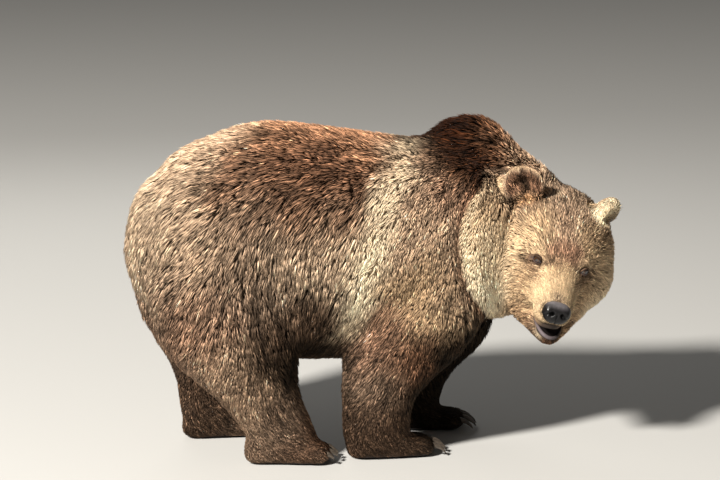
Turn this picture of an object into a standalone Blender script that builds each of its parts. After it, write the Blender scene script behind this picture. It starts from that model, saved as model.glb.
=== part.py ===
"""A brown bear at life size, standing with its head turned to its right.

+X is forwards, +Y is the bear's left and +Z is up, in metres. The solids reach
to the tips of the coat. The body is modelled whole, from a trunk, a neck, four
legs with their paws and a head, melted together, and is then parted with thin
cuts into the pieces that a person would name.
"""

import math

import bmesh
import bpy
from mathutils import Matrix, Vector
from mathutils.bvhtree import BVHTree

# ---------------------------------------------------------------- dimensions
HUMP_HEIGHT = 0.990  # floor to the tips of the coat on the shoulder hump
EYE_RADIUS = 0.0135
# An ear: its cup turned outwards, its tip leaning outwards, both in degrees, how far
# its foot is set outwards and up, then half its thickness, width and height. The left
# ear is laid back into the coat behind it, which leaves a rounder, lower knob.
EARS = {
    "right": (10, 34, 0.004, 0.007, 0.030, 0.063, 0.0706),
    "left": (47, 4, 0.000, -0.0205, 0.038, 0.057, 0.0610),
}
FORE_CLAW = 0.052
HIND_CLAW = 0.032

GAP = 0.0004  # the width of a cut between two neighbours
WELD = 0.00005  # points this close after a cut are one
VOXEL = 0.009  # the grain of the melted body
MELT_BODY = 22  # rounds of smoothing where the big masses meet
MELT_HEAD = 4  # rounds of smoothing on the head and the paws
BODY_TRIANGLES = 4250  # what the melted body is thinned to before it is parted

# The skull's middle, and how the head is turned there: to the bear's right,
# nose down, and rolled towards its right shoulder.
HEAD_AT = Vector((0.656, -0.180, 0.594))
HEAD_YAW = math.radians(-100.5)
HEAD_PITCH = math.radians(23)
HEAD_ROLL = math.radians(-17)
HEAD = (
    Matrix.Translation(HEAD_AT)
    @ Matrix.Rotation(HEAD_YAW, 4, "Z")
    @ Matrix.Rotation(HEAD_PITCH, 4, "Y")
    @ Matrix.Rotation(HEAD_ROLL, 4, "X")
)

# Trunk: x, top, bottom, half width of upright sections.
TRUNK = [
    (-0.500, 0.822, 0.430, 0.170),
    (-0.430, 0.897, 0.370, 0.232),
    (-0.320, 0.944, 0.320, 0.280),
    (-0.180, 0.980, 0.282, 0.306),
    (-0.020, 0.966, 0.262, 0.316),
    (0.140, 0.940, 0.276, 0.306),
    (0.270, 0.922, 0.315, 0.282),
    (0.400, 0.915, 0.345, 0.252),
    (0.500, 0.900, 0.370, 0.205),
]
TRUNK_ENDS = (0.084, 0.085)  # how far the rump and the breast bulge past them

# Neck: middle, half height, half width of sections square to its line.
NECK = [
    ((0.380, 0.000, 0.680), 0.245, 0.225),
    ((0.480, 0.004, 0.668), 0.250, 0.205),
    ((0.560, -0.004, 0.645), 0.228, 0.178),
    ((0.618, -0.048, 0.622), 0.198, 0.160),
    ((0.645, -0.110, 0.608), 0.168, 0.150),
]

# Legs: height, rear edge, front edge, distance from the middle, half width.
FORELEG_RIGHT = [
    (0.640, 0.220, 0.520, 0.130, 0.115),
    (0.500, 0.135, 0.500, 0.168, 0.118),
    (0.420, 0.080, 0.460, 0.180, 0.112),
    (0.350, 0.040, 0.420, 0.180, 0.104),
    (0.290, 0.022, 0.372, 0.176, 0.096),
    (0.230, 0.018, 0.300, 0.172, 0.089),
    (0.180, 0.020, 0.252, 0.170, 0.083),
    (0.130, 0.022, 0.236, 0.168, 0.079),
    (0.060, 0.028, 0.228, 0.166, 0.074),
]
FORELEG_LEFT = [
    (0.640, 0.280, 0.540, 0.130, 0.115),
    (0.500, 0.260, 0.555, 0.160, 0.115),
    (0.420, 0.240, 0.565, 0.168, 0.108),
    (0.350, 0.228, 0.568, 0.168, 0.103),
    (0.290, 0.222, 0.556, 0.166, 0.097),
    (0.230, 0.216, 0.510, 0.163, 0.091),
    (0.180, 0.205, 0.442, 0.160, 0.085),
    (0.130, 0.196, 0.404, 0.158, 0.080),
    (0.060, 0.192, 0.382, 0.156, 0.075),
]
HINDLEG_RIGHT = [
    (0.640, -0.520, -0.180, 0.120, 0.125),
    (0.520, -0.545, -0.110, 0.158, 0.132),
    (0.430, -0.535, -0.092, 0.170, 0.126),
    (0.350, -0.505, -0.094, 0.176, 0.114),
    (0.290, -0.455, -0.094, 0.176, 0.102),
    (0.230, -0.384, -0.090, 0.174, 0.091),
    (0.180, -0.336, -0.082, 0.172, 0.083),
    (0.130, -0.294, -0.062, 0.170, 0.076),
    (0.060, -0.240, -0.040, 0.168, 0.068),
]
HINDLEG_LEFT = [
    (0.640, -0.540, -0.230, 0.120, 0.125),
    (0.520, -0.555, -0.150, 0.156, 0.130),
    (0.430, -0.545, -0.140, 0.166, 0.122),
    (0.350, -0.514, -0.150, 0.170, 0.111),
    (0.290, -0.478, -0.166, 0.168, 0.100),
    (0.230, -0.442, -0.186, 0.164, 0.090),
    (0.180, -0.422, -0.204, 0.160, 0.082),
    (0.130, -0.415, -0.216, 0.156, 0.075),
    (0.060, -0.405, -0.214, 0.154, 0.068),
]

# Paws: middle of the wrist or heel end, heading in degrees, length.
PAWS = {
    "forepaw_right": ((0.072, -0.166), 7, 0.196, "fore"),
    "forepaw_left": ((0.226, 0.156), -6, 0.200, "fore"),
    "hindfoot_right": ((-0.232, -0.168), -5, 0.188, "hind"),
    "hindfoot_left": ((-0.370, 0.154), 6, 0.190, "hind"),
}
# Share of the length, top, half width. The soles lie on the floor.
FORE_FOOT = [
    (0.00, 0.085, 0.058),
    (0.35, 0.082, 0.070),
    (0.65, 0.072, 0.078),
    (0.90, 0.058, 0.076),
]
HIND_FOOT = [
    (0.00, 0.088, 0.050),
    (0.35, 0.088, 0.058),
    (0.65, 0.076, 0.068),
    (0.90, 0.058, 0.072),
]
TOE_RADIUS = 0.0205
SOLE_DEPTH = 0.010  # how far the paws reach under the floor before it cuts them

# Head, along its own line: x, top, bottom, half width.
SKULL = [
    (-0.120, 0.126, -0.130, 0.140),
    (-0.060, 0.162, -0.165, 0.178),
    (0.000, 0.158, -0.175, 0.188),
    (0.050, 0.128, -0.165, 0.168),
    (0.090, 0.094, -0.146, 0.130),
    (0.118, 0.066, -0.124, 0.098),
    (0.150, 0.036, -0.106, 0.077),
    (0.185, 0.014, -0.100, 0.066),
    (0.220, 0.000, -0.096, 0.059),
    (0.252, -0.012, -0.090, 0.050),
]
# Lower jaw, hanging a little open and to the bear's left: x, how far aside,
# middle, half height, half width.
JAW = [
    (0.000, 0.000, -0.120, 0.070, 0.150),
    (0.060, 0.002, -0.133, 0.064, 0.134),
    (0.110, 0.007, -0.144, 0.055, 0.114),
    (0.155, 0.013, -0.151, 0.043, 0.087),
    (0.195, 0.017, -0.155, 0.029, 0.057),
    (0.222, 0.018, -0.158, 0.021, 0.039),
]
EYE_AT = (0.1150, 0.0690, 0.0300)  # an eyeball's middle, mirrored for the other
EAR_AT = (-0.052, 0.110, 0.106)  # the middle of an ear's foot


# -------------------------------------------------------------- mesh helpers
def blend(a, b, c, d, t):
    """Catmull-Rom between b and c."""
    return 0.5 * (
        2 * b + (c - a) * t + (2 * a - 5 * b + 4 * c - d) * t**2 + (3 * b - a - 3 * c + d) * t**3
    )


def flowing(rows, steps=4):
    """The rows of a table with smooth rows between them."""
    full = [rows[0], *rows, rows[-1]]
    made = []
    for a, b, c, d in zip(full, full[1:], full[2:], full[3:]):
        made += [
            tuple(blend(*column, step / steps) for column in zip(a, b, c, d))
            for step in range(steps)
        ]
    return made + [rows[-1]]


def with_caps(sections, start, end, rings=3):
    """Sections are (middle, side, up), half axes of an ellipse. Domes close both ends."""
    made = []
    ends = ((sections[0], start, sections[1]), (sections[-1], end, sections[-2]))
    for (middle, side, up), reach, inner in ends:
        out = (middle - inner[0]).normalized() * reach
        dome = []
        for ring in range(1, rings + 1):
            turn = math.radians(88) * ring / rings
            dome.append((middle + out * math.sin(turn), side * math.cos(turn), up * math.cos(turn)))
        made.append(dome)
    return made[0][::-1] + sections + made[1]


def add_tube(bm, sections, count=28):
    """A closed tube through the sections."""
    rings = []
    for middle, side, up in sections:
        turns = [2 * math.pi * step / count for step in range(count)]
        rings.append([bm.verts.new(middle + side * math.cos(t) + up * math.sin(t)) for t in turns])
    for low, high in zip(rings, rings[1:]):
        for step in range(count):
            after = (step + 1) % count
            bm.faces.new((low[step], low[after], high[after], high[step]))
    bm.faces.new(rings[0][::-1])
    bm.faces.new(rings[-1])


def add_ball(bm, place, middle, radii, tilt=0.0, segments=24):
    """An ellipsoid, in the frame of place, nose up by tilt."""
    shape = Matrix.Translation(middle) @ Matrix.Rotation(-tilt, 4, "Y") @ Matrix.Diagonal((*radii, 1))
    bmesh.ops.create_uvsphere(
        bm, u_segments=segments, v_segments=segments * 2 // 3, radius=1, matrix=place @ shape
    )


def as_object(name, bm, colour=None):
    """A linked object with outward faces."""
    bmesh.ops.recalc_face_normals(bm, faces=bm.faces)
    mesh = bpy.data.meshes.new(name)
    bm.to_mesh(mesh)
    bm.free()
    obj = bpy.data.objects.new(name, mesh)
    bpy.context.scene.collection.objects.link(obj)
    if colour:
        paint(obj, colour)
    return obj


def evaluated(obj):
    """The object's mesh with its modifiers applied to it."""
    graph = bpy.context.evaluated_depsgraph_get()
    mesh = bpy.data.meshes.new_from_object(obj.evaluated_get(graph))
    obj.modifiers.clear()
    obj.data = mesh
    return obj


def combine(obj, other, operation):
    """Applies a Boolean of the other object, which is then removed, and heals its slivers."""
    modifier = obj.modifiers.new("combine", "BOOLEAN")
    modifier.operation = operation
    modifier.object = other
    evaluated(obj)
    bpy.data.objects.remove(other)
    bm = bmesh.new()
    bm.from_mesh(obj.data)
    bmesh.ops.remove_doubles(bm, verts=bm.verts, dist=WELD)
    bmesh.ops.dissolve_degenerate(bm, edges=bm.edges, dist=WELD)
    bm.to_mesh(obj.data)
    bm.free()
    return obj


def cut(obj, cutter):
    """Takes the cutter's volume out of the object."""
    return combine(obj, cutter, "DIFFERENCE")


def grown(obj, by):
    """A copy of the object that is larger by that much all over."""
    bm = bmesh.new()
    bm.from_mesh(obj.data)
    bm.normal_update()
    moved = [(vert, vert.co + vert.normal * by) for vert in bm.verts]
    for vert, place in moved:
        vert.co = place
    return as_object(obj.name + "_grown", bm)


# ----------------------------------------------------------------- materials
FINISHES = {
    "coat": ((0.230, 0.140, 0.080), 0.85),
    "dark_coat": ((0.110, 0.062, 0.038), 0.85),
    "nose_skin": ((0.030, 0.026, 0.026), 0.45),
    "eye": ((0.030, 0.018, 0.012), 0.08),
    "claw": ((0.110, 0.085, 0.060), 0.40),
}


def paint(obj, finish):
    """Gives the object its finish and rounds the shading."""
    colour, roughness = FINISHES[finish]
    material = bpy.data.materials.get(finish)
    if not material:
        material = bpy.data.materials.new(finish)
        material.use_nodes = True
        shader = material.node_tree.nodes["Principled BSDF"]
        shader.inputs["Base Color"].default_value = (*colour, 1)
        shader.inputs["Roughness"].default_value = roughness
        shader.inputs["Metallic"].default_value = 0
    obj.data.materials.clear()
    obj.data.materials.append(material)
    obj.data.shade_smooth()


# ---------------------------------------------------------- the masses of it
def upright_sections(rows):
    """Sections of a table of x, top, bottom and half width."""
    return [
        (Vector((x, 0, (top + low) / 2)), Vector((0, half, 0)), Vector((0, 0, (top - low) / 2)))
        for x, top, low, half in flowing(rows)
    ]


def add_trunk(bm):
    """The barrel, the shoulder hump and the tail's root."""
    add_tube(bm, with_caps(upright_sections(TRUNK), *TRUNK_ENDS, rings=5))
    hump = Matrix.Translation((0.437, 0, HUMP_HEIGHT - 0.170))
    add_ball(bm, hump, (0, 0, 0), (0.165, 0.125, 0.170))
    for side in (-1, 1):
        add_ball(bm, Matrix(), (0.400, side * 0.150, 0.640), (0.150, 0.120, 0.220))
        add_ball(bm, Matrix(), (-0.350, side * 0.130, 0.640), (0.190, 0.155, 0.230))


def add_neck(bm):
    """The thick neck, which bends down and to the right."""
    rows = flowing([(*middle, high, wide) for middle, high, wide in NECK])
    middles = [Vector(row[:3]) for row in rows]
    sections = []
    for index, row in enumerate(rows):
        ahead = middles[min(index + 1, len(rows) - 1)] - middles[max(index - 1, 0)]
        side = Vector((0, 0, 1)).cross(ahead).normalized()
        up = ahead.cross(side).normalized()
        sections.append((middles[index], side * row[4], up * row[3]))
    add_tube(bm, with_caps(sections, 0.05, 0.05))
    add_ball(bm, Matrix(), (0.490, -0.135, 0.560), (0.105, 0.108, 0.180))


def add_leg(bm, rows, side):
    """A leg from level sections."""
    sections = [
        (
            Vector(((rear + front) / 2, side * out, height)),
            Vector(((front - rear) / 2, 0, 0)),
            Vector((0, half, 0)),
        )
        for height, rear, front, out, half in flowing(rows)
    ]
    add_tube(bm, with_caps(sections, 0.06, 0.05))


def paw_place(name):
    """The frame of a paw: its origin on the floor under the heel, +X to the toes."""
    (x, y), heading, _, _ = PAWS[name]
    return Matrix.Translation((x, y, 0)) @ Matrix.Rotation(math.radians(heading), 4, "Z")


def toes_of(name):
    """Each toe's middle and direction in its paw's frame, from one side to the other."""
    _, _, length, kind = PAWS[name]
    spread = 0.030 if kind == "fore" else 0.0275
    found = []
    for place in range(-2, 3):
        reach = length + 0.012 - 0.0045 * place**2
        found.append((Vector((reach, spread * place, 0.026)), math.radians(4 * place)))
    return found


def add_paw(bm, name):
    """A flat foot with five toes."""
    _, _, length, kind = PAWS[name]
    place = paw_place(name)
    turn = place.to_3x3()
    sections = []
    for share, top, half in flowing(FORE_FOOT if kind == "fore" else HIND_FOOT):
        middle = Vector((share * length, 0, (top - SOLE_DEPTH) / 2))
        tall = Vector((0, 0, (top + SOLE_DEPTH) / 2))
        sections.append((place @ middle, turn @ Vector((0, half, 0)), tall))
    add_tube(bm, with_caps(sections, 0.035, 0.022))
    for middle, splay in toes_of(name):
        toe = place @ Matrix.Translation(middle) @ Matrix.Rotation(splay, 4, "Z")
        add_ball(bm, toe, (0, 0, 0), (0.034, TOE_RADIUS, 0.031))


def add_head(bm):
    """Skull, brow, cheeks and muzzle in one, and the lower jaw under them."""
    skull = [
        (HEAD @ middle, HEAD.to_3x3() @ side, HEAD.to_3x3() @ up)
        for middle, side, up in upright_sections(SKULL)
    ]
    add_tube(bm, with_caps(skull, 0.05, 0.020))
    jaw = []
    for x, aside, middle, tall, half in flowing(JAW):
        side, up = HEAD.to_3x3() @ Vector((0, half, 0)), HEAD.to_3x3() @ Vector((0, 0, tall))
        jaw.append((HEAD @ Vector((x, aside, middle)), side, up))
    add_tube(bm, with_caps(jaw, 0.05, 0.020))
    for side in (-1, 1):
        add_ball(bm, HEAD, (0.084, side * 0.060, 0.052), (0.044, 0.044, 0.023), 0.3)
        add_ball(bm, HEAD, (0.005, side * 0.108, -0.050), (0.105, 0.092, 0.112))
        add_ball(bm, HEAD, (0.040, side * 0.088, -0.128), (0.090, 0.062, 0.058))
        add_ball(bm, HEAD, (0.105, side * 0.060, -0.080), (0.062, 0.044, 0.052))
        add_ball(bm, HEAD, (0.220, side * 0.026, -0.068), (0.046, 0.034, 0.032))
    add_ball(bm, HEAD, (-0.090, 0.005, 0.075), (0.110, 0.125, 0.088))


# ---------------------------------------------------------------- the body
def melted_body():
    """All the masses as one skin, with soft joins, on flat soles."""
    bm = bmesh.new()
    add_trunk(bm)
    add_neck(bm)
    for rows, side in (
        (FORELEG_RIGHT, -1),
        (FORELEG_LEFT, 1),
        (HINDLEG_RIGHT, -1),
        (HINDLEG_LEFT, 1),
    ):
        add_leg(bm, rows, side)
    for name in PAWS:
        add_paw(bm, name)
    add_head(bm)
    body = as_object("body", bm)
    remesh = body.modifiers.new("melt", "REMESH")
    remesh.mode = "VOXEL"
    remesh.voxel_size = VOXEL
    evaluated(body)

    soft = body.vertex_groups.new(name="soft")
    coarse = body.vertex_groups.new(name="coarse")
    for vert in body.data.vertices:
        on_head = min(1, max(0, 1.6 - (vert.co - HEAD_AT - Vector((0, -0.06, 0))).length / 0.17))
        on_paw = min(1, max(0, (0.15 - vert.co.z) / 0.07))
        plain = 1 - max(on_head, on_paw)
        soft.add([vert.index], plain, "REPLACE")
        coarse.add([vert.index], 0.92 - 0.22 * on_head - 0.02 * on_paw, "REPLACE")
    for name, rounds, group in (("soften", MELT_BODY, "soft"), ("round_off", MELT_HEAD, "")):
        smooth = body.modifiers.new(name, "SMOOTH")
        smooth.iterations = rounds
        smooth.vertex_group = group
    thin = body.modifiers.new("thin_out", "DECIMATE")
    thin.ratio = BODY_TRIANGLES / (2 * len(body.data.polygons))
    thin.vertex_group = "coarse"
    thin.vertex_group_factor = 1.0
    evaluated(body)
    body.vertex_groups.clear()

    bm = bmesh.new()
    bmesh.ops.create_cube(bm, size=3, matrix=Matrix.Translation((0, 0, -1.5)))
    return cut(body, as_object("floor", bm))


def frame_at(place, facing):
    """A frame whose +Z faces that way."""
    return Matrix.Translation(place) @ Vector(facing).to_track_quat("Z", "Y").to_matrix().to_4x4()


def cuts():
    """Where each piece is parted from the next: the cut's frame, half width and half height."""
    level = {"fore": 0.100, "hind": 0.105}
    found = [
        (frame_at((0.530, 0.000, 0.660), (0.82, -0.46, 0.20)), 0.37, 0.34),  # trunk from neck
        (frame_at((0.665, -0.045, 0.620), (0.76, -0.65, -0.10)), 0.34, 0.30),  # neck from head
        (frame_at((0.235, -0.200, 0.345), (0.15, -0.62, -0.78)), 0.235, 0.235),
        (frame_at((0.385, 0.200, 0.350), (0.10, 0.62, -0.78)), 0.235, 0.235),
        (frame_at((-0.305, -0.210, 0.350), (-0.15, -0.62, -0.78)), 0.27, 0.27),
        (frame_at((-0.345, 0.210, 0.360), (0.00, 0.62, -0.78)), 0.27, 0.27),
    ]
    for name in PAWS:
        _, _, _, kind = PAWS[name]
        ankle = paw_place(name) @ Vector((0.065, 0, level[kind]))
        found.append((frame_at(ankle, (0, 0, 1)), 0.14, 0.14))
    return found


MARKERS = {  # a point inside each piece of the parted body
    "trunk": (0.0, 0.0, 0.6),
    "neck": (0.600, -0.045, 0.620),
    "head": tuple(HEAD @ Vector((0.02, 0, 0))),
    "foreleg_right": (0.130, -0.190, 0.200),
    "foreleg_left": (0.320, 0.185, 0.200),
    "hindleg_right": (-0.210, -0.190, 0.200),
    "hindleg_left": (-0.310, 0.185, 0.200),
    "forepaw_right": (0.160, -0.160, 0.040),
    "forepaw_left": (0.320, 0.150, 0.040),
    "hindfoot_right": (-0.100, -0.175, 0.040),
    "hindfoot_left": (-0.270, 0.160, 0.040),
}


def parted(body):
    """Parts the body into its named pieces, a thin gap apart."""
    for place, wide, tall in cuts():
        bm = bmesh.new()
        disc = place @ Matrix.Diagonal((wide, tall, GAP, 1))
        bmesh.ops.create_cone(
            bm, cap_ends=True, segments=40, radius1=1, radius2=1, depth=1, matrix=disc
        )
        cut(body, as_object("disc", bm))

    bm = bmesh.new()
    bm.from_mesh(body.data)
    bpy.data.objects.remove(body)
    left = set(bm.verts)
    while left:
        island, edge = set(), [next(iter(left))]
        while edge:
            vert = edge.pop()
            if vert not in island:
                island.add(vert)
                edge += [e.other_vert(vert) for e in vert.link_edges]
        left -= island
        part = bmesh.new()
        copies = {vert: part.verts.new(vert.co) for vert in island}
        for face in {face for vert in island for face in vert.link_faces}:
            part.faces.new([copies[vert] for vert in face.verts])
        name = next((n for n, spot in MARKERS.items() if holds(part, Vector(spot))), None)
        if name is None:
            part.free()
            continue
        as_object(name, part, "coat")
    bm.free()


def holds(bm, spot):
    """Whether the closed mesh holds that point."""
    tree = BVHTree.FromBMesh(bm)
    crossings, start = 0, spot.copy()
    while True:
        hit, _, _, _ = tree.ray_cast(start, Vector((0.013, 0.021, 1)))
        if hit is None:
            return crossings % 2 == 1
        crossings += 1
        start = hit + Vector((0.013, 0.021, 1)) * 1e-5


# ---------------------------------------------------- what is set on the body
def outward_frame(middle, side, turn):
    """A frame on the head whose +X faces forwards, turned outwards by that much."""
    return HEAD @ Matrix.Translation(middle) @ Matrix.Rotation(side * turn, 4, "Z")


def ear(name, side, shape):
    """A round ear that leans outwards, with its cup turned outwards."""
    turn, lean, out, rise, thick, half, high = shape
    x, y, z = EAR_AT
    foot = HEAD @ Matrix.Translation((x, side * (y + out), z + rise))
    foot = foot @ Matrix.Rotation(-side * math.radians(lean), 4, "X")
    place = foot @ Matrix.Rotation(side * math.radians(turn), 4, "Z")
    bm = bmesh.new()
    add_ball(bm, place, (0, 0, high * 0.79), (thick, half, high), segments=15)
    made = as_object(name, bm, "coat")
    bm = bmesh.new()
    cup = (0.032, half * 0.74, high * 0.76)
    add_ball(bm, place, (thick, 0, high * 0.72), cup, segments=12)
    return cut(made, as_object("cup", bm))


def eye(name, side):
    """An eyeball."""
    bm = bmesh.new()
    x, y, z = EYE_AT
    place = outward_frame((x, side * y, z), side, 0)
    bmesh.ops.create_icosphere(bm, subdivisions=2, radius=EYE_RADIUS, matrix=place)
    return as_object(name, bm, "eye")


def eye_socket(side):
    """The hollow in front of an eyeball, as wide as the open lids."""
    bm = bmesh.new()
    x, y, z = EYE_AT
    place = outward_frame((x, side * y, z), side, math.radians(34))
    add_ball(bm, place, (0.019, 0, 0), (0.026, 0.0195, 0.0145), segments=12)
    return as_object("eye_socket", bm)


def nose(name):
    """The bare nose pad, with its two nostrils."""
    bm = bmesh.new()
    add_ball(bm, HEAD, (0.256, 0, -0.040), (0.027, 0.042, 0.034), -0.35, segments=15)
    made = as_object(name, bm, "nose_skin")
    bm = bmesh.new()
    for side in (-1, 1):
        add_ball(bm, HEAD, (0.285, side * 0.018, -0.043), (0.014, 0.0075, 0.0075), segments=9)
    return cut(made, as_object("nostrils", bm))


def tail(name):
    """The short tail, hanging flat on the rump."""
    rows = [((-0.560, 0.665), 0.036), ((-0.578, 0.620), 0.034), ((-0.580, 0.575), 0.024)]
    sections = [
        (Vector((x, 0, z)), Vector((0, half, 0)), Vector((half * 0.55, 0, 0)))
        for (x, z), half in rows
    ]
    bm = bmesh.new()
    add_tube(bm, with_caps(sections, 0.02, 0.02), count=14)
    return as_object(name, bm, "dark_coat")


def claw(name, place, length):
    """A claw that curves down from its toe, along +X of the frame."""
    bend = math.radians(58)
    radius = length / bend
    sections = []
    for step in range(5):
        share = step / 4
        turn = bend * share
        middle = Vector((radius * math.sin(turn), 0, radius * (math.cos(turn) - 1)))
        up = Vector((math.sin(turn), 0, math.cos(turn)))
        thick = 0.0085 * (1 - share) ** 0.7 + 0.0012
        across = place.to_3x3() @ Vector((0, thick * 0.62, 0))
        sections.append((place @ middle, across, place.to_3x3() @ up * thick))
    bm = bmesh.new()
    add_tube(bm, sections, count=6)
    return as_object(name, bm, "claw")


def claws_of(paw):
    """The five claws of a paw, with their sizes."""
    _, _, _, kind = PAWS[paw]
    length = FORE_CLAW if kind == "fore" else HIND_CLAW
    for number, (middle, splay) in enumerate(toes_of(paw), start=1):
        root = middle + Matrix.Rotation(splay, 3, "Z") @ Vector((0.020, 0, 0.010))
        place = paw_place(paw) @ Matrix.Translation(root) @ Matrix.Rotation(splay, 4, "Z")
        place = place @ Matrix.Rotation(math.radians(4), 4, "Y")
        yield claw(f"{paw}_claw_{number}", place, length)


def seat(piece, host):
    """Cuts away what of the piece lies in its host, a thin gap off it."""
    return cut(piece, grown(host, GAP))


def stand_on_origin():
    """Moves all so that the middle of the model's box is over the origin."""
    spots = [v.co for o in bpy.data.objects for v in o.data.vertices]
    middle = Vector([(min(c) + max(c)) / 2 for c in zip(*spots)])
    for obj in bpy.data.objects:
        obj.data.transform(Matrix.Translation((-middle.x, -middle.y, 0)))


def build():
    """The whole bear."""
    for obj in list(bpy.data.objects):
        bpy.data.objects.remove(obj)
    body = melted_body()
    for side, word in ((-1, "right"), (1, "left")):
        seat(ear(f"ear_{word}", side, EARS[word]), body)
        ball = eye(f"eye_{word}", side)
        cut(body, combine(eye_socket(side), grown(ball, GAP), "UNION"))
    cut(body, grown(nose("nose"), GAP))
    seat(tail("tail"), body)
    for paw in PAWS:
        for made in claws_of(paw):
            seat(made, body)
    parted(body)
    stand_on_origin()


build()
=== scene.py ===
"""The brown bear dressed: one skin inside its solids, a coat of solid tufts, eyes, nose and claws."""

import math

import bmesh
import bpy
import numpy as np
from mathutils import Matrix, Vector
from mathutils.bvhtree import BVHTree
from mathutils.kdtree import KDTree


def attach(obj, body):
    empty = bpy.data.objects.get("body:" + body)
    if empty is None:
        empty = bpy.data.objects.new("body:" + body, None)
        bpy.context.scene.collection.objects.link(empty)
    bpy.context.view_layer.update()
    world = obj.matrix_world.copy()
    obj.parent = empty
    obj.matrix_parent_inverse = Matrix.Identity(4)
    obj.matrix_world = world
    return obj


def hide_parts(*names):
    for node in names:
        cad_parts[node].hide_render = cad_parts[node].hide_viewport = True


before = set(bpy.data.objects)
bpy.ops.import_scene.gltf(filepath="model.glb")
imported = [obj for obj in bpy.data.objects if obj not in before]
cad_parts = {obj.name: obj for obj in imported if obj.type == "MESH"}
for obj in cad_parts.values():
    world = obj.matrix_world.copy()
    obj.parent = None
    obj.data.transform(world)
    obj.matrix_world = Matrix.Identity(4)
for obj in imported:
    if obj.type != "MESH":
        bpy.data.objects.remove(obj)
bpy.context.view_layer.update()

FLESH = (
    "trunk", "neck", "head", "tail", "ear_left", "ear_right",
    "foreleg_left", "foreleg_right", "forepaw_left", "forepaw_right",
    "hindleg_left", "hindleg_right", "hindfoot_left", "hindfoot_right",
)
MIDDLE_Y = 0.055  # the bear's own left-right middle, in the row's frame
HEAD_AT = Vector((0.52673, -0.12484, 0.594))
HEAD_TURN = (
    Matrix.Rotation(math.radians(-100.5), 3, "Z")
    @ Matrix.Rotation(math.radians(23), 3, "Y")
    @ Matrix.Rotation(math.radians(-17), 3, "X")
)
EYE_RADIUS = 0.0135
EYE_AT = (0.1150, 0.0690, 0.0300)  # in the head's own frame, mirrored for the other
GAZE_OUT = math.radians(34)
BARE_ROUND_EYE = 0.0182  # no hair grows nearer to an eye's middle
FINE_VOXEL, ROUGH_VOXEL = 0.0045, 0.010  # the fine skin shapes the head, the rough one the rest
TUFTS = 246000
TUFTS_IN_A_PIECE = 32500
TUFTS_IN_A_BIG_LOCK, TUFTS_IN_A_LOCK = 90, 8
ROOT_DEPTH = 0.0012  # how far a tuft's root lies under the skin
BAKE_PATCH = 0.003  # how large a tuft lies on its bake map
SEED = 11
RIPPLE_WAVES = 7
BLOCK = 20000  # points worked on at a time

# ---------------------------------------------------------------- small helpers


def to_head(points):
    """Row points in the head's own frame: x to the nose, y to its left, z up."""
    return (points - np.array(HEAD_AT)) @ np.array(HEAD_TURN)


def from_head(points):
    """Points in the head's own frame, back in the row's frame."""
    return points @ np.array(HEAD_TURN).T + np.array(HEAD_AT)


def unit(vectors):
    """Vectors made one long."""
    return vectors / np.maximum(np.linalg.norm(vectors, axis=-1, keepdims=True), 1e-9)


def ramp(values, low, high):
    """A smooth step from 0 at low to 1 at high."""
    t = np.clip((values - low) / (high - low), 0, 1)
    return t * t * (3 - 2 * t)


def ripple(points, size, seed):
    """A smooth field between about -1 and 1 whose waves are about size long."""
    rng = np.random.default_rng(seed)
    total = np.zeros(len(points))
    for _ in range(RIPPLE_WAVES):
        way = rng.normal(size=3)
        way *= 2 * math.pi / (size * rng.uniform(0.7, 1.4) * np.linalg.norm(way))
        total += np.sin(points @ way + rng.uniform(0, 2 * math.pi))
    return total / 2.6


def near(points, place, reach):
    """1 at place, fading to 0 over reach, with a reach for each axis if three are given."""
    away = (points - np.array(place)) / np.array(reach)
    return np.exp(-0.5 * (away * away).sum(axis=1))


def along_line(points, line, reach):
    """1 on a line through several places, fading to 0 over reach."""
    best = np.full(len(points), 1e9)
    for a, b in zip(line, line[1:]):
        a, b = np.array(a), np.array(b)
        t = np.clip((points - a) @ (b - a) / ((b - a) @ (b - a)), 0, 1)
        gap = np.linalg.norm(points - a - t[:, None] * (b - a), axis=1)
        best = np.minimum(best, gap)
    return np.exp(-0.5 * (best / reach) ** 2)


def from_table(points, places, reaches, values):
    """Each point's mix of a table's values, led by the rows that it lies in reach of."""
    mixed = np.empty((len(points), values.shape[1]))
    for start in range(0, len(points), BLOCK):
        some = points[start : start + BLOCK]
        gaps = ((some[:, None, :] - places[None]) ** 2).sum(axis=2)
        pull = -gaps / (2 * reaches[None] ** 2)
        pull -= pull.max(axis=1, keepdims=True)
        weight = np.exp(pull)
        mixed[start : start + BLOCK] = weight @ values / weight.sum(axis=1, keepdims=True)
    return mixed


def mesh_object(name, points, faces):
    """A new object with a mesh of its own, at the origin."""
    mesh = bpy.data.meshes.new(name)
    mesh.from_pydata([tuple(p) for p in points], [], [tuple(f) for f in faces])
    mesh.update()
    thing = bpy.data.objects.new(name, mesh)
    bpy.context.scene.collection.objects.link(thing)
    return thing


def places_of(mesh):
    """A mesh's points as an array."""
    flat = np.empty(len(mesh.vertices) * 3, np.float32)
    mesh.vertices.foreach_get("co", flat)
    return flat.reshape(-1, 3).astype(np.float64)


def put_places(mesh, points):
    """Moves a mesh's points to new places."""
    mesh.vertices.foreach_set("co", points.astype(np.float32).ravel())
    mesh.update()


def normals_of(mesh):
    """The normals at a mesh's points as an array."""
    flat = np.empty(len(mesh.vertices) * 3, np.float32)
    mesh.vertex_normals.foreach_get("vector", flat)
    return flat.reshape(-1, 3).astype(np.float64)


def links_of(mesh):
    """A mesh's edges as pairs of points."""
    flat = np.empty(len(mesh.edges) * 2, np.int32)
    mesh.edges.foreach_get("vertices", flat)
    return flat.reshape(-1, 2)


def corners_of(mesh):
    """A mesh's triangles as triples of points."""
    mesh.calc_loop_triangles()
    flat = np.empty(len(mesh.loop_triangles) * 3, np.int32)
    mesh.loop_triangles.foreach_get("vertices", flat)
    return flat.reshape(-1, 3)


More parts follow.
